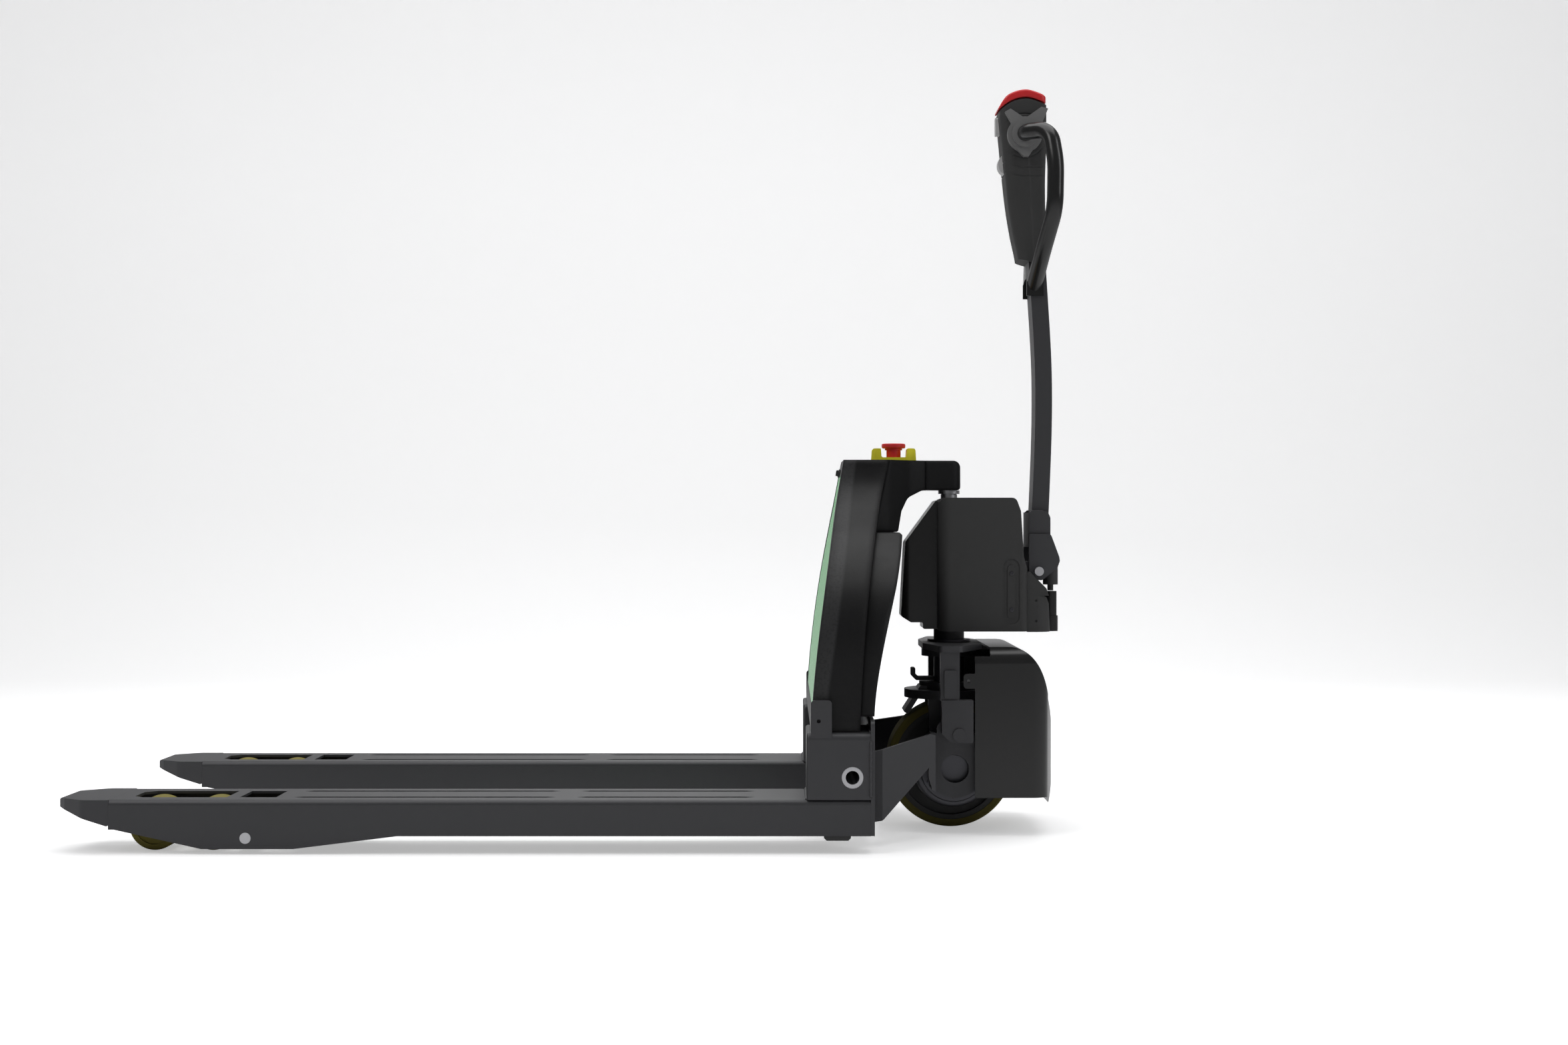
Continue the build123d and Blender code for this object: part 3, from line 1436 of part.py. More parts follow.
# ---- the whole truck ----------------------------------------------------------------------
pieces = {
    "rear_plate": rear_plate(),
    "heel_pads": heel_pads(),
    "rocker_shaft": rocker_shaft(),
    "yoke_pins": yoke_pins(),
    "mast_body": mast_body(),
    "front_panel": front_panel(),
    "battery_pack": battery_pack(),
    "battery_lid": battery_lid(),
    "neck_arm": neck_arm(),
    "neck_cap": neck_cap(),
    "piston_rod": piston_rod(),
    "estop_guard": estop_guard(),
    "estop_button": estop_button(),
    "key_knob": key_knob(),
    "carriage_frame": carriage_frame(),
    "steering_bearing": steering_bearing(),
    "trunnion_pins": trunnion_pins(),
    "drive_shroud": drive_shroud(),
    "rocker": rocker(),
    "wheel_bracket": wheel_bracket(),
    "wheel_axle": wheel_axle(),
    "drive_motor": drive_motor(),
    "motor_cap": motor_cap(),
    "drive_rim": drive_rim(),
    "drive_tyre": drive_tyre(),
    "lift_cylinder": lift_cylinder(),
    "pump_motor": pump_motor(),
    "housing_shell": housing_shell(),
    "housing_rear_cover": housing_rear_cover(),
    "housing_front_cover": housing_front_cover(),
    "tiller_lug": tiller_lug(),
    "tiller_pin": tiller_pin(),
    "gas_spring_tube": gas_spring_tube(),
    "gas_spring_rod": gas_spring_rod(),
    "cable_clip": cable_clip(),
    "tiller_bracket": tiller_bracket(),
    "tiller_tube": tiller_tube(),
    "head_shell": head_shell(),
    "belly_button": belly_button(),
    "throttle_wings": throttle_wings(),
    "horn_button": horn_button(),
    "lift_switch": lift_switch(),
    "handle_loop": handle_loop(),
}
for side_name, side in sides.items():
    pieces["fork_" + side_name] = fork(side)
    pieces["fork_tip_" + side_name] = fork_tip(side)
    pieces["heel_box_" + side_name] = heel_box(side)
    pieces["push_rod_" + side_name] = push_rod(side)
    pieces["yoke_" + side_name] = yoke(side)
    pieces["bogie_" + side_name] = bogie(side)
    pieces["front_roller_" + side_name] = load_roller(side, -1)
    pieces["rear_roller_" + side_name] = load_roller(side, 1)

os.makedirs("parts", exist_ok=True)
for name, shape in pieces.items():
    export_step(place(shape), "parts/" + name + ".step")
print(len(pieces), "nodes written")
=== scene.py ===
import json
import math

import bmesh
import bpy
import numpy as np
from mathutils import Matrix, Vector


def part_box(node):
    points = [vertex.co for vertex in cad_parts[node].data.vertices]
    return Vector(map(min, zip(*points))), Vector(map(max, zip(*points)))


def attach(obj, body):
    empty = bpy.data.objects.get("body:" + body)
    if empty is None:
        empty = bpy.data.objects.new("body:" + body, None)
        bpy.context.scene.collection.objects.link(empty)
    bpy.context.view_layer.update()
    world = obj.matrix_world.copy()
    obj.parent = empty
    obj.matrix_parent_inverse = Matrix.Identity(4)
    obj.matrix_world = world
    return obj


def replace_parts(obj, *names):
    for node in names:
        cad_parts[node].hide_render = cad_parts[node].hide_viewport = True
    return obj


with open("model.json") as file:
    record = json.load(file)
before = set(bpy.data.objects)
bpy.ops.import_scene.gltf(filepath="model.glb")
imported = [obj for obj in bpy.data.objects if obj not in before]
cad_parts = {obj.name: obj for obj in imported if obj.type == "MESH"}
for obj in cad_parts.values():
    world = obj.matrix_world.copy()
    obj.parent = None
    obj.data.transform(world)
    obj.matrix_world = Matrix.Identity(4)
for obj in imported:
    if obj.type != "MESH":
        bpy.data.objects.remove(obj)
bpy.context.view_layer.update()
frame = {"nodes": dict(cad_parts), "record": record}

bl_info = {
    "name": "Electric pallet truck finish",
    "version": (1, 0, 0),
    "blender": (4, 5, 0),
    "location": "View3D > Sidebar > Pallet truck",
    "description": "Makes the covers, welds, screws, finishes and studio of an electric pallet truck",
    "category": "Object",
}

MM = 0.001


def node_box(name):
    """The lowest and highest corner of a CAD node as arrays, in metres."""
    low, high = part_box(name)
    return np.array(low), np.array(high)


def joint_place(name):
    """The point of a joint's axis, in metres."""
    for joint in frame["record"]["behaviour"]["joints"]:
        if joint["name"] == name:
            return np.array(joint["pos_m"])
    raise RuntimeError("the record has no joint named " + name)


WHEEL = joint_place("drive_spin")
THROTTLE = joint_place("throttle_turn")
ROCKER = joint_place("rocker_swing")
HEEL_X = node_box("heel_box_left")[0][0]


# ---- meshes from arrays -------------------------------------------------------------------
def skin(name, grids, body, slot, sharp_angle=40.0):
    """One mesh from grids of points of shape (rows, columns, 3), each closed round its columns.

    Neighbouring rows are joined by quads, doubles are merged so that seams and poles close, and the
    normals are turned outwards."""
    places = []
    quads = []
    start = 0
    for grid in grids:
        rows, columns = grid.shape[:2]
        index = start + np.arange(rows * columns).reshape(rows, columns)
        after = np.roll(index, -1, axis=1)
        quads.append(np.stack([index[:-1], after[:-1], after[1:], index[1:]], axis=-1).reshape(-1, 4))
        places.append(grid.reshape(-1, 3))
        start += rows * columns
    mesh = bpy.data.meshes.new(name)
    mesh.from_pydata(np.concatenate(places).tolist(), [], np.concatenate(quads).tolist())
    shell = bmesh.new()
    shell.from_mesh(mesh)
    bmesh.ops.remove_doubles(shell, verts=shell.verts, dist=2e-6)
    bmesh.ops.dissolve_degenerate(shell, edges=shell.edges, dist=1e-7)
    bmesh.ops.recalc_face_normals(shell, faces=shell.faces)
    shell.to_mesh(mesh)
    shell.free()
    mesh.shade_smooth()
    mesh.set_sharp_from_angle(angle=math.radians(sharp_angle))
    piece = bpy.data.objects.new(name, mesh)
    bpy.context.scene.collection.objects.link(piece)
    piece.data.materials.append(bpy.data.materials[slot])
    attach(piece, body)
    return piece


def basis(axis):
    """Two unit vectors square to an axis, and the axis itself, all of length one."""
    axis = np.asarray(axis, float)
    axis = axis / np.linalg.norm(axis)
    helper = np.array([0.0, 0.0, 1.0]) if abs(axis[2]) < 0.9 else np.array([1.0, 0.0, 0.0])
    first = np.cross(helper, axis)
    first = first / np.linalg.norm(first)
    return first, np.cross(axis, first), axis


def turned(profile, origin, axis, columns=32):
    """A profile of (radius, height) pairs turned round an axis through origin.

    Point = origin + radius * (cos a * first + sin a * second) + height * axis."""
    first, second, along = basis(axis)
    profile = np.asarray(profile, float) * MM
    angle = np.linspace(0, 2 * math.pi, columns, endpoint=False)
    ring = np.cos(angle)[:, None] * first + np.sin(angle)[:, None] * second
    return origin + profile[:, 0, None, None] * ring + profile[:, 1, None, None] * along


def socket_screw(origin, axis, radius, height):
    """A cap screw: a turned head with rounded rim whose socket is six-sided.

    In the socket the radius is the across-flats half divided by cos(a folded into one sixth)."""
    columns = 48
    flat = 0.5 * radius
    corner = 0.12 * radius
    heads = [
        (0, 0), (radius, 0), (radius, height - corner), (radius - 0.3 * corner, height - 0.3 * corner),
        (radius - corner, height), (flat * 1.22, height), (flat * 1.15, height - 0.3),
    ]
    head = turned(heads, origin, axis, columns)
    first, second, along = basis(axis)
    angle = np.linspace(0, 2 * math.pi, columns, endpoint=False)
    folded = np.mod(angle, math.pi / 3) - math.pi / 6
    reach = flat / np.cos(folded) * MM
    ring = np.cos(angle)[:, None] * first + np.sin(angle)[:, None] * second
    levels = np.array([height - 0.3, 0.45 * height])[:, None, None] * MM
    walls = origin + reach[None, :, None] * ring + levels * along
    centre = np.broadcast_to(origin + 0.4 * height * MM * along, (1, columns, 3))
    return np.concatenate([head, walls, centre])


def bead(start, end, radius=2.6, ripple=3.2):
    """A weld bead between two points: a tube whose radius swells with every ripple and closes at both ends.

    radius(s) = radius * (0.86 + 0.14 * |cos(pi * s / ripple)|), drawn in to nothing over its last two
    millimetres."""
    start = np.asarray(start, float)
    end = np.asarray(end, float)
    length = np.linalg.norm(end - start) / MM
    first, second, along = basis(end - start)
    run = np.linspace(0, length, max(8, int(length / 0.8)))
    swell = radius * (0.86 + 0.14 * np.abs(np.cos(math.pi * run / ripple)))
    wander = 0.25 * np.sin(run * 0.37) + 0.15 * np.sin(run * 0.91)
    ends = np.clip(np.minimum(run, length - run) / 2.0, 0, 1)
    swell = swell * np.sqrt(1 - (1 - ends) ** 2)
    angle = np.linspace(0, 2 * math.pi, 12, endpoint=False)
    ring = np.cos(angle)[:, None] * first + np.sin(angle)[:, None] * second
    middle = start + run[:, None] * MM * along + wander[:, None] * MM * first
    return middle[:, None, :] + swell[:, None, None] * MM * ring


def rounded_section(front, rear, half, front_radius, rear_radius, side_columns, end_columns):
    """Rounded rectangles in X and Y, one for each row of the arrays front, rear and half.

    Corners are quarter circles, and the sides are straight lines between their ends, so that columns
    line up from row to row. Returns x and y of shape (rows, columns)."""
    corner = np.linspace(0, math.pi / 2, 8)
    side = np.linspace(0, 1, side_columns + 2)[1:-1]
    end = np.linspace(0, 1, end_columns + 2)[1:-1]
    front = np.asarray(front, float)[:, None]
    rear = np.asarray(rear, float)[:, None]
    half = np.asarray(half, float)[:, None]
    arcs = []
    for angle, centre_x, side_sign, radius in (
        (math.pi + corner, front + front_radius, -1, front_radius),
        (1.5 * math.pi + corner, rear - rear_radius, -1, rear_radius),
        (corner, rear - rear_radius, 1, rear_radius),
        (0.5 * math.pi + corner, front + front_radius, 1, front_radius),
    ):
        x = centre_x + radius * np.cos(angle)
        y = side_sign * (half - radius) + radius * np.sin(angle)
        arcs.append((x, y))
    joined_x = []
    joined_y = []
    for place, share in enumerate((side, end, side, end)):
        x, y = arcs[place]
        next_x, next_y = arcs[(place + 1) % 4]
        joined_x += [x, x[:, -1:] + share * (next_x[:, :1] - x[:, -1:])]
        joined_y += [y, y[:, -1:] + share * (next_y[:, :1] - y[:, -1:])]
    return np.concatenate(joined_x, axis=1), np.concatenate(joined_y, axis=1)


def curve_through(positions, values):
    """A smooth function through a few points: each stretch eases with a cubic Hermite polynomial."""
    positions = np.asarray(positions, float)
    values = np.asarray(values, float)
    slopes = np.gradient(values, positions)

    def evaluate(place):
        place = np.clip(place, positions[0], positions[-1])
        cell = np.clip(np.searchsorted(positions, place) - 1, 0, len(positions) - 2)
        width = positions[cell + 1] - positions[cell]
        t = (place - positions[cell]) / width
        return (
            values[cell] * (2 * t**3 - 3 * t**2 + 1)
            + slopes[cell] * width * (t**3 - 2 * t**2 + t)
            + values[cell + 1] * (3 * t**2 - 2 * t**3)
            + slopes[cell + 1] * width * (t**3 - t**2)
        )

    return evaluate


# ---- shader groups ------------------------------------------------------------------------
def new_group(name, inputs, outputs):
    """A shader node group with named number, vector and colour sockets, and its two end nodes."""
    group = bpy.data.node_groups.new(name, "ShaderNodeTree")
    for label, kind, default in inputs:
        socket = group.interface.new_socket(label, in_out="INPUT", socket_type="NodeSocket" + kind)
        if default is not None:
            socket.default_value = default
    for label, kind in outputs:
        group.interface.new_socket(label, in_out="OUTPUT", socket_type="NodeSocket" + kind)
    return group, group.nodes.new("NodeGroupInput"), group.nodes.new("NodeGroupOutput")


def feed(tree, socket, value):
    """Links an output to an input, or sets the input to a plain value."""
    if isinstance(value, bpy.types.NodeSocket):
        tree.links.new(value, socket)
    else:
        socket.default_value = value


def math_node(tree, operation, first, second=0.0, third=0.0, clamp=False):
    """A Math node's output."""
    node = tree.nodes.new("ShaderNodeMath")
    node.operation = operation
    node.use_clamp = clamp
    for place, value in enumerate((first, second, third)):
        feed(tree, node.inputs[place], value)
    return node.outputs[0]


def noise_node(tree, vector, scale, detail=3.0, roughness=0.55):
    """A Noise Texture's factor."""
    node = tree.nodes.new("ShaderNodeTexNoise")
    feed(tree, node.inputs["Vector"], vector)
    feed(tree, node.inputs["Scale"], scale)
    node.inputs["Detail"].default_value = detail
    node.inputs["Roughness"].default_value = roughness
    return node.outputs["Fac"]


def stretch(tree, vector, factors):
    """A vector multiplied axis by axis."""
    node = tree.nodes.new("ShaderNodeVectorMath")
    node.operation = "MULTIPLY"
    feed(tree, node.inputs[0], vector)
    node.inputs[1].default_value = factors
    return node.outputs[0]


def ramp(tree, value, low, high, to_low=0.0, to_high=1.0):
    """A value carried smoothly from one range to another and held at its ends."""
    node = tree.nodes.new("ShaderNodeMapRange")
    node.interpolation_type = "SMOOTHSTEP"
    labels = ("Value", "From Min", "From Max", "To Min", "To Max")
    for label, part in zip(labels, (value, low, high, to_low, to_high)):
        feed(tree, node.inputs[label], part)
    return node.outputs[0]


def mix_colour(tree, factor, first, second):
    """A Mix node's colour."""
    node = tree.nodes.new("ShaderNodeMix")
    node.data_type = "RGBA"
    feed(tree, node.inputs[0], factor)
    feed(tree, node.inputs[6], first)
    feed(tree, node.inputs[7], second)
    return node.outputs[2]


def grain_group():
    """Moulded or sprayed grain: fine cells over a softer swell, as a height and a fleck mask."""
    group, ins, outs = new_group(
        "Surface grain",
        [("Position", "Vector", None), ("Scale", "Float", 900.0), ("Swell", "Float", 0.4)],
        [("Height", "Float"), ("Fleck", "Float")],
    )
    cells = group.nodes.new("ShaderNodeTexVoronoi")
    cells.feature = "SMOOTH_F1"
    group.links.new(ins.outputs["Position"], cells.inputs["Vector"])
    group.links.new(ins.outputs["Scale"], cells.inputs["Scale"])
    broad = math_node(group, "MULTIPLY", ins.outputs["Scale"], 0.22)
    soft = noise_node(group, ins.outputs["Position"], broad, 2.0)
    swell = math_node(group, "MULTIPLY", soft, ins.outputs["Swell"])
    height = math_node(group, "ADD", cells.outputs["Distance"], swell)
    group.links.new(height, outs.inputs["Height"])
    group.links.new(ramp(group, soft, 0.45, 0.7), outs.inputs["Fleck"])
    return group


def edge_group():
    """Worn corners: where the rounded normal leaves the flat one, broken up by noise.

    It also gives the rounded normal."""
    group, ins, outs = new_group(
        "Edge wear",
        [("Position", "Vector", None), ("Radius", "Float", 0.0012), ("Amount", "Float", 0.5)],
        [("Mask", "Float"), ("Rounded", "Vector")],
    )
    bevel = group.nodes.new("ShaderNodeBevel")
    bevel.samples = 4
    group.links.new(ins.outputs["Radius"], bevel.inputs["Radius"])
    flat = group.nodes.new("ShaderNodeNewGeometry")
    dot = group.nodes.new("ShaderNodeVectorMath")
    dot.operation = "DOT_PRODUCT"
    group.links.new(bevel.outputs["Normal"], dot.inputs[0])
    group.links.new(flat.outputs["Normal"], dot.inputs[1])
    turn = ramp(group, dot.outputs["Value"], 0.99, 0.86)
    chips = ramp(group, noise_node(group, ins.outputs["Position"], 160.0, 5.0, 0.7), 0.42, 0.66)
    worn = math_node(group, "MULTIPLY", turn, chips)
    mask = math_node(group, "MULTIPLY", worn, ins.outputs["Amount"], clamp=True)
    group.links.new(mask, outs.inputs["Mask"])
    group.links.new(bevel.outputs["Normal"], outs.inputs["Rounded"])
    return group


def dust_group():
    """Fine dust that lies on what faces up and gathers near the floor, broken into soft patches."""
    group, ins, outs = new_group(
        "Settled dust",
        [("Position", "Vector", None), ("Amount", "Float", 0.3)],
        [("Mask", "Float")],
    )
    facing = group.nodes.new("ShaderNodeNewGeometry")
    parts = group.nodes.new("ShaderNodeSeparateXYZ")
    group.links.new(facing.outputs["Normal"], parts.inputs[0])
    place = group.nodes.new("ShaderNodeSeparateXYZ")
    group.links.new(ins.outputs["Position"], place.inputs[0])
    up = ramp(group, parts.outputs["Z"], 0.2, 1.0, 0.15, 1.0)
    low = ramp(group, place.outputs["Z"], 0.32, 0.0, 0.25, 1.0)
    patches = ramp(group, noise_node(group, ins.outputs["Position"], 14.0, 6.0, 0.6), 0.35, 0.75)
    total = math_node(group, "MULTIPLY", math_node(group, "MULTIPLY", up, low), patches)
    mask = math_node(group, "MULTIPLY", total, ins.outputs["Amount"], clamp=True)
    group.links.new(mask, outs.inputs["Mask"])
    return group


def scuff_group():
    """Long thin scratches: noise drawn out along the truck and kept only at its crests."""
    group, ins, outs = new_group(
        "Handling scratches",
        [("Position", "Vector", None), ("Amount", "Float", 0.3)],
        [("Mask", "Float")],
    )
    along = noise_node(group, stretch(group, ins.outputs["Position"], (9.0, 160.0, 160.0)), 4.0, 4.0, 0.7)
    across = noise_node(group, stretch(group, ins.outputs["Position"], (120.0, 120.0, 14.0)), 3.0, 4.0, 0.7)
    lines = math_node(group, "MAXIMUM", ramp(group, along, 0.68, 0.74), ramp(group, across, 0.7, 0.76))
    where = ramp(group, noise_node(group, ins.outputs["Position"], 7.0, 2.0), 0.4, 0.65)
    total = math_node(group, "MULTIPLY", lines, where)
    mask = math_node(group, "MULTIPLY", total, ins.outputs["Amount"], clamp=True)
    group.links.new(mask, outs.inputs["Mask"])
    return group


def brushed_group():
    """Fine turning and grinding marks on bare metal, as a height and a tone."""
    group, ins, outs = new_group(
        "Ground metal",
        [("Position", "Vector", None), ("Scale", "Float", 60.0)],
        [("Height", "Float"), ("Tone", "Float")],
    )
    drawn_out = stretch(group, ins.outputs["Position"], (6.0, 40.0, 40.0))
    lines = noise_node(group, drawn_out, ins.outputs["Scale"], 3.0, 0.7)
    cloud = noise_node(group, ins.outputs["Position"], 30.0, 4.0)
    group.links.new(lines, outs.inputs["Height"])
    half_cloud = math_node(group, "MULTIPLY", cloud, 0.5)
    group.links.new(math_node(group, "MULTIPLY_ADD", lines, 0.5, half_cloud), outs.inputs["Tone"])
    return group


GROUP_MAKERS = {
    "Surface grain": grain_group,
    "Edge wear": edge_group,
    "Settled dust": dust_group,
    "Handling scratches": scuff_group,
    "Ground metal": brushed_group,
}


def place_group(tree, name, position, **values):
    """A group node set in a material, fed with the position and with plain values by socket name."""
    node = tree.nodes.new("ShaderNodeGroup")
    node.node_tree = bpy.data.node_groups.get(name) or GROUP_MAKERS[name]()
    tree.links.new(position, node.inputs["Position"])
    for label, value in values.items():
        node.inputs[label].default_value = value
    return node


# ---- materials ----------------------------------------------------------------------------
DUST = (0.42, 0.4, 0.36, 1)


def tone(colour, factor):
    """A colour made lighter or darker by a factor."""
    return tuple(min(1.0, part * factor) for part in colour[:3]) + (1.0,)


def finish(name, colour, roughness, grain=900.0, depth=0.05, swell=0.4, spread=0.12, shade=0.18,
           worn=None, wear=0.35, radius=0.0012, dust=0.18, scuff=0.25, metallic=0.0, worn_metallic=0.0,
           coat=0.0, gleam=0.12, mask=None):
    """A painted, moulded or cast finish.

    The colour varies slowly by shade, wears to another colour on corners and scratches, and takes dust.
    Roughness varies by spread, and the grain gives the bump. mask may give another colour where it is
    one. If the frame already has a material of this name, the new one gets a number after its name."""
    material = bpy.data.materials.new(name)
    material.use_nodes = True
    tree = material.node_tree
    shader = tree.nodes["Principled BSDF"]
    position = tree.nodes.new("ShaderNodeTexCoord").outputs["Object"]
    texture = place_group(tree, "Surface grain", position, Scale=grain, Swell=swell)
    edges = place_group(tree, "Edge wear", position, Radius=radius, Amount=wear)
    settled = place_group(tree, "Settled dust", position, Amount=dust)
    scratches = place_group(tree, "Handling scratches", position, Amount=scuff)
    cloud = noise_node(tree, position, 11.0, 5.0)
    base = colour
    if mask is not None:
        other, mask_socket = mask(tree, position)
        base = mix_colour(tree, mask_socket, colour, other)
        dark = mix_colour(tree, mask_socket, tone(colour, 1 - shade), tone(other, 1 - shade))
    else:
        dark = tone(colour, 1 - shade)
    varied = mix_colour(tree, ramp(tree, cloud, 0.3, 0.7), base, dark)
    flecks = math_node(tree, "MULTIPLY", texture.outputs["Fleck"], 0.35)
    speckled = mix_colour(tree, flecks, varied, tone(colour, 1 + shade))
    rubbed = math_node(tree, "MAXIMUM", edges.outputs["Mask"], scratches.outputs["Mask"])
    scuffed = mix_colour(tree, rubbed, speckled, worn or tone(colour, 1.9))
    tree.links.new(mix_colour(tree, settled.outputs["Mask"], scuffed, DUST), shader.inputs["Base Color"])
    rough = ramp(tree, cloud, 0.25, 0.75, roughness - spread / 2, roughness + spread / 2)
    rough = math_node(tree, "MULTIPLY_ADD", settled.outputs["Mask"], 0.5, rough)
    rough = math_node(tree, "MULTIPLY_ADD", rubbed, 0.12, rough, clamp=True)
    tree.links.new(rough, shader.inputs["Roughness"])
    if worn_metallic:
        tree.links.new(ramp(tree, rubbed, 0.0, 1.0, metallic, worn_metallic), shader.inputs["Metallic"])
    else:
        shader.inputs["Metallic"].default_value = metallic
    shader.inputs["Specular IOR Level"].default_value = gleam
    shader.inputs["Coat Weight"].default_value = coat
    shader.inputs["Coat Roughness"].default_value = 0.08
    bump = tree.nodes.new("ShaderNodeBump")
    bump.inputs["Strength"].default_value = depth
    bump.inputs["Distance"].default_value = 0.0006
    tree.links.new(texture.outputs["Height"], bump.inputs["Height"])
    tree.links.new(edges.outputs["Rounded"], bump.inputs["Normal"])
    tree.links.new(bump.outputs["Normal"], shader.inputs["Normal"])
    return material


def bare_metal(name, colour, roughness, scale=60.0, tarnish=0.25, dust=0.12, radius=0.0006):
    """Ground, turned or plated metal with fine lines, tarnish in clouds and softly rounded corners."""
    material = bpy.data.materials.new(name)
    material.use_nodes = True
    tree = material.node_tree
    shader = tree.nodes["Principled BSDF"]
    position = tree.nodes.new("ShaderNodeTexCoord").outputs["Object"]
    ground = place_group(tree, "Ground metal", position, Scale=scale)
    edges = place_group(tree, "Edge wear", position, Radius=radius, Amount=0.5)
    settled = place_group(tree, "Settled dust", position, Amount=dust)
    dulled = ramp(tree, ground.outputs["Tone"], 0.35, 0.7)
    toned = mix_colour(tree, dulled, colour, tone(colour, 1 - tarnish))
    bright = mix_colour(tree, edges.outputs["Mask"], toned, tone(colour, 1.25))
    tree.links.new(mix_colour(tree, settled.outputs["Mask"], bright, DUST), shader.inputs["Base Color"])
    rough = ramp(tree, ground.outputs["Tone"], 0.3, 0.75, roughness - 0.08, roughness + 0.1)
    rough = math_node(tree, "MULTIPLY_ADD", settled.outputs["Mask"], 0.4, rough, clamp=True)
    tree.links.new(rough, shader.inputs["Roughness"])
    shader.inputs["Metallic"].default_value = 1.0
    bump = tree.nodes.new("ShaderNodeBump")
    bump.inputs["Strength"].default_value = 0.12
    bump.inputs["Distance"].default_value = 0.0003
    tree.links.new(ground.outputs["Height"], bump.inputs["Height"])
    tree.links.new(edges.outputs["Rounded"], bump.inputs["Normal"])
    tree.links.new(bump.outputs["Normal"], shader.inputs["Normal"])
    return material


def mast_front_mask(tree, position):
    """One near the mast's leaning front face and below its dark top: the grey frame round the panel."""
    parts = tree.nodes.new("ShaderNodeSeparateXYZ")
    tree.links.new(position, parts.inputs[0])
    lean = math_node(tree, "MULTIPLY_ADD", parts.outputs["Z"], -0.138, parts.outputs["X"])
    near = ramp(tree, lean, HEEL_X + 0.003, HEEL_X - 0.004)
    return (0.035, 0.035, 0.036, 1), near


def panel_edge_mask(tree, position):
    """One towards the panel's flanks and above its shoulder: the dark field that frames the green."""
    parts = tree.nodes.new("ShaderNodeSeparateXYZ")
    tree.links.new(position, parts.inputs[0])
    aside = ramp(tree, math_node(tree, "ABSOLUTE", parts.outputs["Y"]), 0.205, 0.209)
    above = ramp(tree, parts.outputs["Z"], 0.55, 0.556)
    return (0.006, 0.008, 0.007, 1), math_node(tree, "MAXIMUM", aside, above)


def facing_coat(material, weight):
    """Clear coat that is full where the surface is seen square on and fades towards its rim."""
    tree = material.node_tree
    facing = tree.nodes.new("ShaderNodeLayerWeight")
    facing.inputs["Blend"].default_value = 0.5
    coat = ramp(tree, facing.outputs["Facing"], 0.85, 0.4, 0.0, weight)
    tree.links.new(coat, tree.nodes["Principled BSDF"].inputs["Coat Weight"])


NODE_FINISH = {
    "mast_body": "mast_paint",
    "neck_arm": "soft_paint",
    "neck_cap": "soft_paint",
    "battery_lid": "soft_paint",
    "fork_tip_left": "charcoal_paint",
    "fork_tip_right": "charcoal_paint",
    "gas_spring_rod": "black_plastic",
    "trunnion_pins": "charcoal_paint",
    "steering_bearing": "motor_alloy",
}


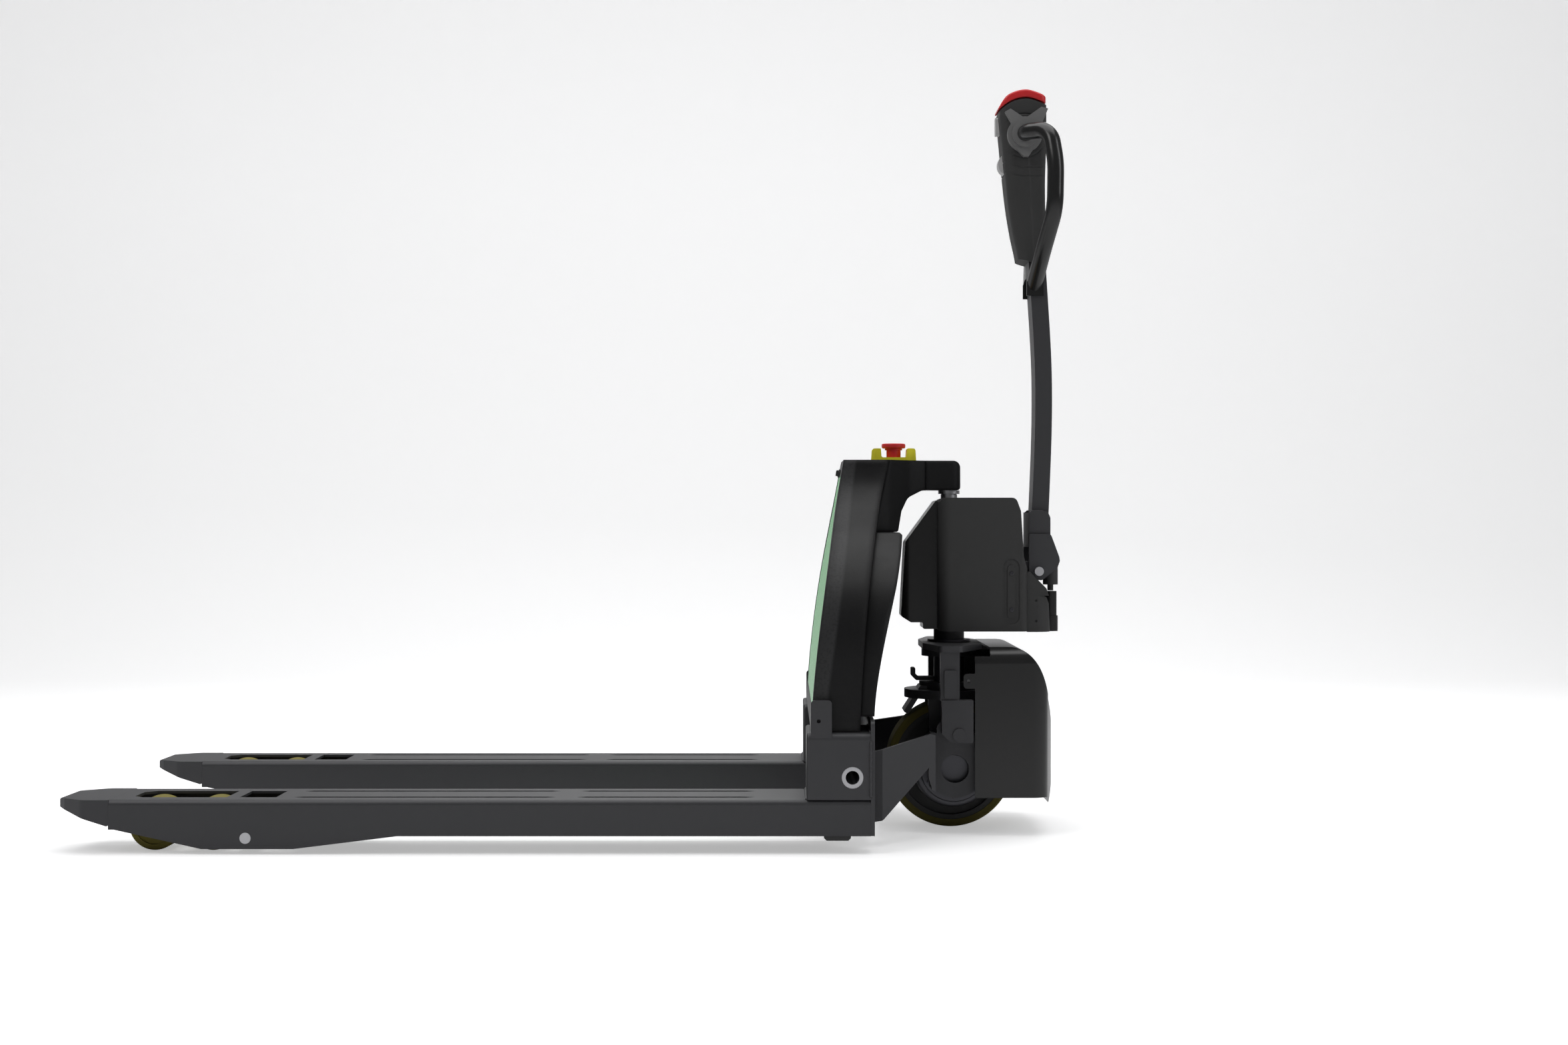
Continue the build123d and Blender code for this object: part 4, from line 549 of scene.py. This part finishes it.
def dress(colours):
    """Makes every finish, and gives each CAD node the material named in NODE_FINISH or else by its slot.

    The frame brings a plain material for every slot of the record, and the finishes made here under the
    same names are numbered, so the nodes get the plain ones. mast_paint and soft_paint are not slots of
    the record, and are the only finishes that show."""
    steel = (0.5, 0.5, 0.5, 1)
    charcoal = (*colours.paint, 1)
    plastic = (*colours.plastic, 1)
    finish("charcoal_paint", charcoal, 0.42, grain=1100, depth=0.2, worn=(0.09, 0.088, 0.085, 1), wear=0.35,
           worn_metallic=0.4, dust=0.05, scuff=0.14, spread=0.12)
    finish("mast_paint", charcoal, 0.42, grain=1100, depth=0.2, worn=(0.05, 0.049, 0.047, 1), wear=0.1,
           worn_metallic=0.4, dust=0.03, scuff=0.08, spread=0.12, radius=0.012, gleam=0.2,
           mask=mast_front_mask)
    finish("soft_paint", charcoal, 0.42, grain=1100, depth=0.2, worn=(0.05, 0.049, 0.047, 1), wear=0.1,
           worn_metallic=0.4, dust=0.03, scuff=0.08, spread=0.12, radius=0.009, gleam=0.2)
    finish("grey_cast", tone(charcoal, 1.2), 0.46, grain=500, depth=0.3, worn=(0.12, 0.118, 0.115, 1),
           wear=0.45, worn_metallic=0.5, dust=0.05, scuff=0.25)
    finish("black_plastic", plastic, 0.42, grain=1500, depth=0.3, wear=0.2, dust=0.04, scuff=0.08)
    finish("black_gloss", (*colours.gloss, 1), 0.2, grain=220, depth=0.02, wear=0.1, dust=0.03, scuff=0.08,
           spread=0.06, coat=0.12, radius=0.003, gleam=0.3)
    panel = finish("green_gloss", (*colours.panel, 1), 0.4, grain=180, depth=0.02, shade=0.06,
                   worn=(*colours.panel, 1), wear=0.05, dust=0.01, scuff=0.02, spread=0.06, gleam=0.0,
                   mask=panel_edge_mask)
    facing_coat(panel, 0.5)
    finish("battery_case", (0.02, 0.02, 0.024, 1), 0.6, grain=900, depth=0.3)
    finish("yellow_plastic", (*colours.guard, 1), 0.42, grain=1200, depth=0.25, shade=0.08,
           worn=(0.95, 0.9, 0.4, 1), wear=0.4, dust=0.1, scuff=0.15)
    finish("red_plastic", (*colours.button, 1), 0.34, grain=1300, depth=0.15, shade=0.1,
           worn=(0.8, 0.15, 0.13, 1), wear=0.3, dust=0.06, scuff=0.12, coat=0.2)
    finish("grey_plastic", (0.1, 0.1, 0.102, 1), 0.5, grain=1400, depth=0.3, dust=0.04, scuff=0.1,
           gleam=0.2)
    finish("light_plastic", (0.42, 0.42, 0.43, 1), 0.45, grain=1400, depth=0.25, shade=0.1, dust=0.05)
    finish("motor_alloy", (0.011, 0.011, 0.012, 1), 0.38, grain=700, depth=0.25, worn=(0.12, 0.12, 0.12, 1),
           wear=0.35, worn_metallic=1.0, metallic=0.2, dust=0.08, scuff=0.1)
    finish("wheel_iron", (0.014, 0.014, 0.014, 1), 0.5, grain=350, depth=0.3, worn=(0.1, 0.09, 0.08, 1),
           wear=0.35, worn_metallic=0.5, dust=0.12)
    finish("olive_tyre", (*colours.tyre, 1), 0.55, grain=600, depth=0.25, shade=0.3,
           worn=tone(colours.tyre, 1.5), wear=0.2, dust=0.1, scuff=0.35, radius=0.002)
    finish("olive_roller", tone(colours.tyre, 1.35), 0.5, grain=600, depth=0.2, shade=0.25,
           worn=tone(colours.tyre, 1.9), wear=0.2, dust=0.1, scuff=0.3, radius=0.002)
    bare_metal("bright_steel", steel, 0.3)
    bare_metal("zinc_steel", (0.4, 0.4, 0.39, 1), 0.42, scale=40, tarnish=0.35, dust=0.3)
    for part in frame["record"]["subparts"]:
        material = NODE_FINISH.get(part["node"], part["material_slot"])
        node = frame["nodes"][part["node"]]
        node.data.materials.clear()
        node.data.materials.append(bpy.data.materials[material])


# ---- tiller head --------------------------------------------------------------------------
HEAD_LOW, HEAD_HIGH = node_box("head_shell")
HEAD_HALF = (HEAD_HIGH[1] - HEAD_LOW[1]) / 2 / MM


def head_crest(x):
    """Height of the head's arched top over the throttle's axis, in millimetres, at x from that axis."""
    return curve_through((-42.5, -20.5, 1.5, 37.5), (41.0, 55.5, 61.0, 51.0))(x)


def head_foot(x):
    """Height of the head's slanted lower end, in millimetres, at x from the throttle's axis."""
    return -204.0 - 10.0 * np.clip((x + 9.0) / 42.5, 0, 1)


def head_front(z):
    """The front face's line: straight down to the groove band, then drawn back to the nose."""
    return curve_through((-214, -204, -164, -122, -60, 41), (-7.5, -9.0, -17.5, -24.5, -31.0, -40.0))(z)


def head_rear(z):
    """The rear face's line."""
    return curve_through((-214, -149, -69, -9, 55), (33.5, 36.5, 35.5, 37.5, 37.5))(z)


def groove(distance, width, depth):
    """A rounded groove: depth * exp(-(distance / width)^2)."""
    return depth * np.exp(-((distance / width) ** 2))


def head_relief(x, z):
    """How far the head's side is let in, in millimetres.

    It is the sum of a ring round the throttle, two bands, a line beside the front edge, a step along a
    crease and a soft dish below the throttle."""
    ring = groove(np.hypot(x, z) - 36.0, 0.9, 1.3)
    slant = np.clip(-x - 4.0, 0, 40) * 0.32
    bands = groove(z + 53.0 - slant, 1.0, 1.4) + groove(z + 67.5 - slant * 0.6, 1.0, 1.4)
    below = 1 / (1 + np.exp((z + 69.0) / 1.5))
    contour = groove(x - head_front(z) - 11.0, 0.8, 1.1) * below
    crease_x = 8.0 - (z + 40.0) * 0.055
    crease = 1.3 / (1 + np.exp(-(x - crease_x) / 0.7)) / (1 + np.exp((z + 38.0) / 1.5))
    dish = 1.2 * np.exp(-(((z + 130.0) / 40.0) ** 2)) * np.exp(-(((x - 22.0) / 9.0) ** 2))
    return ring + bands + contour + crease + dish


def make_head_cover():
    """Moulded head: rounded sections from foot to crest, let in by head_relief, closed above and below.

    Each column has a place between the front and rear lines, and its height runs from the foot's to the
    crest's at that place."""
    share = np.linspace(0, 1, 225)
    nominal = -206.0 + share * (52.0 + 206.0)
    front = head_front(nominal)
    rear = head_rear(nominal)
    narrowing = 4.0 / (1 + np.exp((nominal + 96.0) / 9.0))
    x, y = rounded_section(front, rear, HEAD_HALF - narrowing, 17.0, 9.0, 78, 16)
    z = head_foot(x) + share[:, None] * (head_crest(x) - head_foot(x))
    side = np.clip((np.abs(y) - (HEAD_HALF - narrowing[:, None]) + 6.0) / 6.0, 0, 1) ** 2
    y = y - np.sign(y) * side * head_relief(x, z)
    bands_ahead = groove(z + 53.0 - 11.5, 1.0, 1.2) + groove(z + 67.5 - 7.0, 1.0, 1.2)
    ahead = np.clip((front[:, None] + 6.0 - x) / 6.0, 0, 1)
    x = x + ahead * bands_ahead
    walls = np.stack([x, y, z], axis=-1)
    lids = []
    for end, level, inward in ((0, head_foot, 1.0), (-1, head_crest, -1.0)):
        middle = (walls[end, :, 0].max() + walls[end, :, 0].min()) / 2
        rows = []
        for shrink, sink in ((0.985, 0.0), (0.96, 0.0), (0.93, 0.35), (0.6, 0.5), (0.25, 0.5), (0.0, 0.5)):
            plan_x = middle + (walls[end, :, 0] - middle) * shrink
            plan_y = walls[end, :, 1] * shrink
            rows.append(np.stack([plan_x, plan_y, level(plan_x) + sink * inward], axis=-1))
        lids.append(np.array(rows))
    grid = np.concatenate([lids[0][::-1], walls, lids[1]])
    return skin("tiller_head_cover", [THROTTLE + grid * MM], "tiller", "black_plastic", 50)


def arched_lid(outline_x, outline_y, lower, upper, radius):
    """A lid between two arched surfaces whose rim is rounded above and eased below.

    Rows are copies of the plan drawn towards its middle by r * (1 - cos a), raised by r * sin a on the
    rim's quarter circle, and then shrunk to a point."""
    middle = (outline_x.max() + outline_x.min()) / 2
    half_x = (outline_x.max() - outline_x.min()) / 2
    half_y = outline_y.max()
    turn = np.linspace(0, math.pi / 2, 9)
    rows = []

    def row(inset, base, rise):
        plan_x = middle + (outline_x - middle) * max(0.0, 1 - inset / half_x)
        plan_y = outline_y * max(0.0, 1 - inset / half_y)
        rows.append(np.stack([plan_x, plan_y, base(plan_x) + rise], axis=-1))

    reach = max(half_x, half_y)
    for inset in (reach, reach * 0.7, reach * 0.35, 4.0):
        row(inset, lower, 0.0)
    row(0.8, lower, 0.0)
    row(0.2, lower, 0.25)
    row(0.0, lower, 0.8)
    for angle in turn:
        row(radius * (1 - math.cos(angle)), upper, radius * (math.sin(angle) - 1))
    for inset in np.linspace(radius + 1.5, reach, 14):
        row(inset, upper, 0.0)
    return np.array(rows)


def make_belly_cap():
    """Arched safety button: a lid over the whole head with a rounded rim and a bevel along its front."""
    x, y = rounded_section([-42.0], [36.5], [HEAD_HALF - 1.5], 16.0, 8.5, 60, 24)

    def under(place):
        return head_crest(place) + 3.4

    def over(place):
        return head_crest(place) + 16.4 - 7.0 * np.clip((-28.0 - place) / 12.0, 0, 1) ** 1.5

    lid = arched_lid(x[0], y[0], under, over, 4.5)
    cap = skin("belly_cap", [THROTTLE + lid * MM], "belly_switch", "red_plastic", 60)
    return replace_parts(cap, "belly_button")


# ---- screws, rings and welds --------------------------------------------------------------
def make_screws(radius, height):
    """Dark cap screws on the motor cap and on the housing's recess islands."""
    cap_face = node_box("motor_cap")[0][1] + 1.0 * MM
    circle = 46 * MM
    heads = []
    for turn in range(6):
        angle = math.radians(30 + 60 * turn)
        across = WHEEL[0] + circle * math.cos(angle)
        place = np.array([across, cap_face, WHEEL[2] + circle * math.sin(angle)])
        heads.append(socket_screw(place, (0, -1, 0), radius, 2.0))
    shell_low, shell_high = node_box("housing_shell")
    for side in (-1, 1):
        for rise in (36.0, 96.0):
            place = np.array([shell_high[0] - 26.5 * MM, side * shell_high[1], shell_low[2] + rise * MM])
            heads.append(socket_screw(place, (0, side, 0), radius, height))
    skin("cover_screws", heads, "drive_unit", "motor_alloy", 35)


def snap_ring(place, axis, bore, width):
    """A spring ring on a pin: a flat ring with eased edges, turned round the pin's axis."""
    outer = bore + width
    edge = outer - 0.3
    profile = [(bore, 0.0), (edge, 0.0), (outer, 0.3), (outer, 1.3), (edge, 1.6), (bore, 1.6), (bore, 0.0)]
    return turned(profile, place, axis, 48)


def make_rings():
    """Spring rings on the ends of the rocker shaft and of the roller axles."""
    shaft_low, shaft_high = node_box("rocker_shaft")
    shaft_radius = (shaft_high[2] - shaft_low[2]) / 2 / MM
    rings = []
    for side in (-1, 1):
        place = np.array([ROCKER[0], side * (shaft_high[1] - 1.4 * MM), ROCKER[2]])
        rings.append(snap_ring(place, (0, side, 0), shaft_radius - 3.0, 2.8))
    skin("shaft_rings", rings, "chassis", "bright_steel", 35)
    for name in ("left", "right"):
        low, high = node_box("bogie_" + name)
        axles = []
        for end in (low[0] + 13 * MM, high[0] - 13 * MM):
            for edge, sign in ((low[1], -1), (high[1], 1)):
                place = np.array([end, edge - sign * 7.0 * MM, (low[2] + high[2]) / 2])
                axles.append(snap_ring(place, (0, sign, 0), 7.0, 2.2))
        skin("axle_rings_" + name, axles, "bogie_" + name, "bright_steel", 35)


def make_welds(radius, ripple):
    """Weld beads where heel boxes, forks, lugs and rear plate meet, and on the tiller's bracket."""
    plate_x = node_box("rear_plate")[0][0]
    beads = []
    for name, side in (("left", -1), ("right", 1)):
        low, high = node_box("heel_box_" + name)
        top = node_box("fork_" + name)[1][2]
        inner = side * min(abs(low[1]), abs(high[1]))
        outer = side * max(abs(low[1]), abs(high[1]))
        box_top = top + 102 * MM
        front = low[0]
        foot = top + 4 * MM
        head = box_top - 12 * MM
        lug_y = outer - side * 4.5 * MM
        ends = inner + side * 12 * MM, outer - side * 12 * MM
        runs = (
            ((front, inner + side * 6 * MM, top), (front, outer - side * 6 * MM, top), radius),
            ((plate_x, inner, foot), (plate_x, inner, head), radius),
            ((plate_x, outer, foot), (plate_x, outer, head), radius),
            ((plate_x, ends[0], box_top), (plate_x, ends[1], box_top), radius),
            ((front + 9 * MM, lug_y, box_top), (front + 36 * MM, lug_y, box_top), radius * 0.8),
        )
        beads += [bead(start, end, thickness, ripple) for start, end, thickness in runs]
    skin("frame_welds", beads, "chassis", "charcoal_paint", 60)
    bracket_top = node_box("tiller_bracket")[1][2]
    tube_low, tube_high = node_box("tiller_tube")
    flanks = []
    for side in (-1, 1):
        start = (tube_low[0] + 2 * MM, side * tube_high[1], bracket_top)
        end = (tube_low[0] + 26 * MM, side * tube_high[1], bracket_top)
        flanks.append(bead(start, end, radius * 0.7, ripple))
    skin("bracket_welds", flanks, "tiller", "charcoal_paint", 60)


# ---- studio -------------------------------------------------------------------------------
FLOOR_GLOW = 0.42
SKY_LIGHT = 0.16
LIGHTS = (
    ("top", (0.1, 0.2, 4.2), (0.1, 0.1, 0), (5.0, 3.6), 120, (1, 1, 1)),
    ("key", (-2.2, -2.4, 3.6), (0.1, 0, 0.3), (1.8, 1.4), 34, (1, 0.99, 0.98)),
    ("fill", (3.2, -1.6, 2.2), (0.5, 0, 0.6), (0.9, 2.4), 22, (0.98, 0.99, 1)),
    ("back", (0.6, 3.0, 2.6), (0.4, 0, 0.6), (3.0, 1.2), 26, (1, 1, 1)),
)


def soft_light(name, place, target, size, power, tint):
    """A rectangular area light aimed at a point."""
    data = bpy.data.lights.new(name, "AREA")
    data.shape = "RECTANGLE"
    data.size, data.size_y = size
    data.energy = power
    data.color = tint
    light = bpy.data.objects.new(name, data)
    light.location = place
    light.rotation_euler = (Vector(target) - Vector(place)).to_track_quat("-Z", "Y").to_euler()
    bpy.context.scene.collection.objects.link(light)


def make_stage(distance, height):
    """Pale floor that curves up behind the truck, soft lights, white surroundings and the camera.

    Floor and surroundings are brighter to the camera than to other rays, so the truck stays dark."""
    run = np.linspace(-9.0, 9.0, 3)
    turn = np.linspace(0, math.pi / 2, 24)
    profile_y = np.concatenate([[-14.0, 3.2], 3.2 + 1.8 * np.sin(turn), [5.0]])
    profile_z = np.concatenate([[0.0, 0.0], 1.8 * (1 - np.cos(turn)), [7.0]])
    grid = np.stack(np.broadcast_arrays(run[None, :], profile_y[:, None], profile_z[:, None]), axis=-1)
    rows, columns = grid.shape[:2]
    index = np.arange(rows * columns).reshape(rows, columns)
    corners = (index[:-1, :-1], index[:-1, 1:], index[1:, 1:], index[1:, :-1])
    quads = np.stack(corners, axis=-1).reshape(-1, 4)
    mesh = bpy.data.meshes.new("floor")
    mesh.from_pydata(grid.reshape(-1, 3).tolist(), [], quads.tolist())
    mesh.shade_smooth()
    floor = bpy.data.objects.new("floor", mesh)
    bpy.context.scene.collection.objects.link(floor)
    paper = bpy.data.materials.new("pale_floor")
    paper.use_nodes = True
    shader = paper.node_tree.nodes["Principled BSDF"]
    shader.inputs["Base Color"].default_value = (0.93, 0.93, 0.935, 1)
    shader.inputs["Roughness"].default_value = 0.6
    shader.inputs["Specular IOR Level"].default_value = 0.1
    shader.inputs["Emission Color"].default_value = (1, 1, 1, 1)
    straight = paper.node_tree.nodes.new("ShaderNodeLightPath").outputs["Is Camera Ray"]
    glow = ramp(paper.node_tree, straight, 0.0, 1.0, 0.0, FLOOR_GLOW)
    paper.node_tree.links.new(glow, shader.inputs["Emission Strength"])
    mesh.materials.append(paper)
    bpy.context.scene.view_settings.view_transform = "Standard"
    world = bpy.data.worlds.new("surroundings")
    bpy.context.scene.world = world
    world.use_nodes = True
    tree = world.node_tree
    sky = tree.nodes["Background"]
    sky.inputs["Color"].default_value = (0.98, 0.985, 1.0, 1)
    seen = tree.nodes.new("ShaderNodeLightPath").outputs["Is Camera Ray"]
    tree.links.new(ramp(tree, seen, 0.0, 1.0, SKY_LIGHT, 1.0), sky.inputs["Strength"])
    for light in LIGHTS:
        soft_light(*light)
    camera_data = bpy.data.cameras.new("camera")
    camera_data.lens = 50
    camera_data.sensor_width = 36
    camera = bpy.data.objects.new("camera", camera_data)
    camera.location = (HEEL_X - 34.5 * MM, -distance, height)
    camera.rotation_euler = (math.pi / 2, 0, 0)
    bpy.context.scene.collection.objects.link(camera)
    bpy.context.scene.camera = camera


# ---- add-on -------------------------------------------------------------------------------
class TruckColours(bpy.types.PropertyGroup):
    """Colours of the truck's finishes."""

    paint: bpy.props.FloatVectorProperty(
        name="Paint", description="Charcoal paint of the steel frame", subtype="COLOR", size=3,
        default=(0.0095, 0.0095, 0.01), min=0, max=1)
    plastic: bpy.props.FloatVectorProperty(
        name="Plastic", description="Moulded covers", subtype="COLOR", size=3,
        default=(0.0075, 0.0075, 0.008), min=0, max=1)
    gloss: bpy.props.FloatVectorProperty(
        name="Gloss black", description="Shroud and handle loop", subtype="COLOR", size=3,
        default=(0.004, 0.004, 0.0045), min=0, max=1)
    panel: bpy.props.FloatVectorProperty(
        name="Panel", description="Front panel of the mast", subtype="COLOR", size=3,
        default=(0.06, 0.72, 0.13), min=0, max=1)
    guard: bpy.props.FloatVectorProperty(
        name="Guard", description="Guard of the stop button", subtype="COLOR", size=3,
        default=(0.88, 0.78, 0.012), min=0, max=1)
    button: bpy.props.FloatVectorProperty(
        name="Buttons", description="Stop button and belly cap", subtype="COLOR", size=3,
        default=(0.55, 0.008, 0.012), min=0, max=1)
    tyre: bpy.props.FloatVectorProperty(
        name="Tyre", description="Tyre of the drive wheel; the rollers are a little lighter",
        subtype="COLOR", size=3, default=(0.075, 0.06, 0.005), min=0, max=1)


class TruckDetails(bpy.types.PropertyGroup):
    """Sizes of the small details."""

    screw_radius: bpy.props.FloatProperty(
        name="Screw head radius", description="Half the width of a cover screw's head, in millimetres",
        default=3.4, min=2, max=6)
    screw_height: bpy.props.FloatProperty(
        name="Screw head height", description="How far a cover screw stands out, in millimetres",
        default=1.6, min=0.5, max=4)
    bead_radius: bpy.props.FloatProperty(
        name="Weld bead", description="Radius of the weld beads, in millimetres", default=2.6, min=1, max=4)
    bead_ripple: bpy.props.FloatProperty(
        name="Weld ripple", description="Distance between two ripples of a bead, in millimetres",
        default=3.2, min=1.5, max=6)
    camera_distance: bpy.props.FloatProperty(
        name="Camera distance", description="From the truck's centre plane", default=3.66, unit="LENGTH")
    camera_height: bpy.props.FloatProperty(
        name="Camera height", description="Above the floor", default=0.506, unit="LENGTH")


class TRUCK_OT_finishes(bpy.types.Operator):
    """Make the truck's materials and give them to the CAD nodes"""

    bl_idname = "truck.finishes"
    bl_label = "Finishes"

    def execute(self, context):
        dress(context.scene.truck_colours)
        return {"FINISHED"}


class TRUCK_OT_head_cover(bpy.types.Operator):
    """Make the moulded tiller head"""

    bl_idname = "truck.head_cover"
    bl_label = "Tiller head"

    def execute(self, context):
        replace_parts(make_head_cover(), "head_shell")
        return {"FINISHED"}


class TRUCK_OT_belly_cap(bpy.types.Operator):
    """Make the arched safety button over the head"""

    bl_idname = "truck.belly_cap"
    bl_label = "Belly cap"

    def execute(self, context):
        make_belly_cap()
        return {"FINISHED"}


class TRUCK_OT_screws(bpy.types.Operator):
    """Make the cover screws"""

    bl_idname = "truck.screws"
    bl_label = "Screws"

    def execute(self, context):
        details = context.scene.truck_details
        make_screws(details.screw_radius, details.screw_height)
        return {"FINISHED"}


class TRUCK_OT_rings(bpy.types.Operator):
    """Make the spring rings on shafts and axles"""

    bl_idname = "truck.rings"
    bl_label = "Spring rings"

    def execute(self, context):
        make_rings()
        return {"FINISHED"}


class TRUCK_OT_welds(bpy.types.Operator):
    """Make the weld beads on frame and bracket"""

    bl_idname = "truck.welds"
    bl_label = "Welds"

    def execute(self, context):
        details = context.scene.truck_details
        make_welds(details.bead_radius, details.bead_ripple)
        return {"FINISHED"}


class TRUCK_OT_stage(bpy.types.Operator):
    """Make the floor, lights and camera"""

    bl_idname = "truck.stage"
    bl_label = "Studio"

    def execute(self, context):
        details = context.scene.truck_details
        make_stage(details.camera_distance, details.camera_height)
        return {"FINISHED"}


OPERATORS = (
    TRUCK_OT_stage,
    TRUCK_OT_finishes,
    TRUCK_OT_head_cover,
    TRUCK_OT_belly_cap,
    TRUCK_OT_screws,
    TRUCK_OT_rings,
    TRUCK_OT_welds,
)


class TRUCK_PT_panel(bpy.types.Panel):
    """Buttons and values of the pallet truck's finish"""

    bl_idname = "TRUCK_PT_panel"
    bl_label = "Pallet truck"
    bl_space_type = "VIEW_3D"
    bl_region_type = "UI"
    bl_category = "Pallet truck"

    def draw(self, context):
        for group in (context.scene.truck_colours, context.scene.truck_details):
            for label in group.bl_rna.properties.keys():
                if label not in ("rna_type", "name"):
                    self.layout.prop(group, label)
        for operator in OPERATORS:
            self.layout.operator(operator.bl_idname)


CLASSES = (TruckColours, TruckDetails, *OPERATORS, TRUCK_PT_panel)


def register():
    for kind in CLASSES:
        bpy.utils.register_class(kind)
    bpy.types.Scene.truck_colours = bpy.props.PointerProperty(type=TruckColours)
    bpy.types.Scene.truck_details = bpy.props.PointerProperty(type=TruckDetails)


def unregister():
    del bpy.types.Scene.truck_details
    del bpy.types.Scene.truck_colours
    for kind in reversed(CLASSES):
        bpy.utils.unregister_class(kind)


def main():
    """Runs every operator in order."""
    register()
    for operator in OPERATORS:
        group, name = operator.bl_idname.split(".")
        getattr(getattr(bpy.ops, group), name)()


if __name__ == "__main__":
    main()
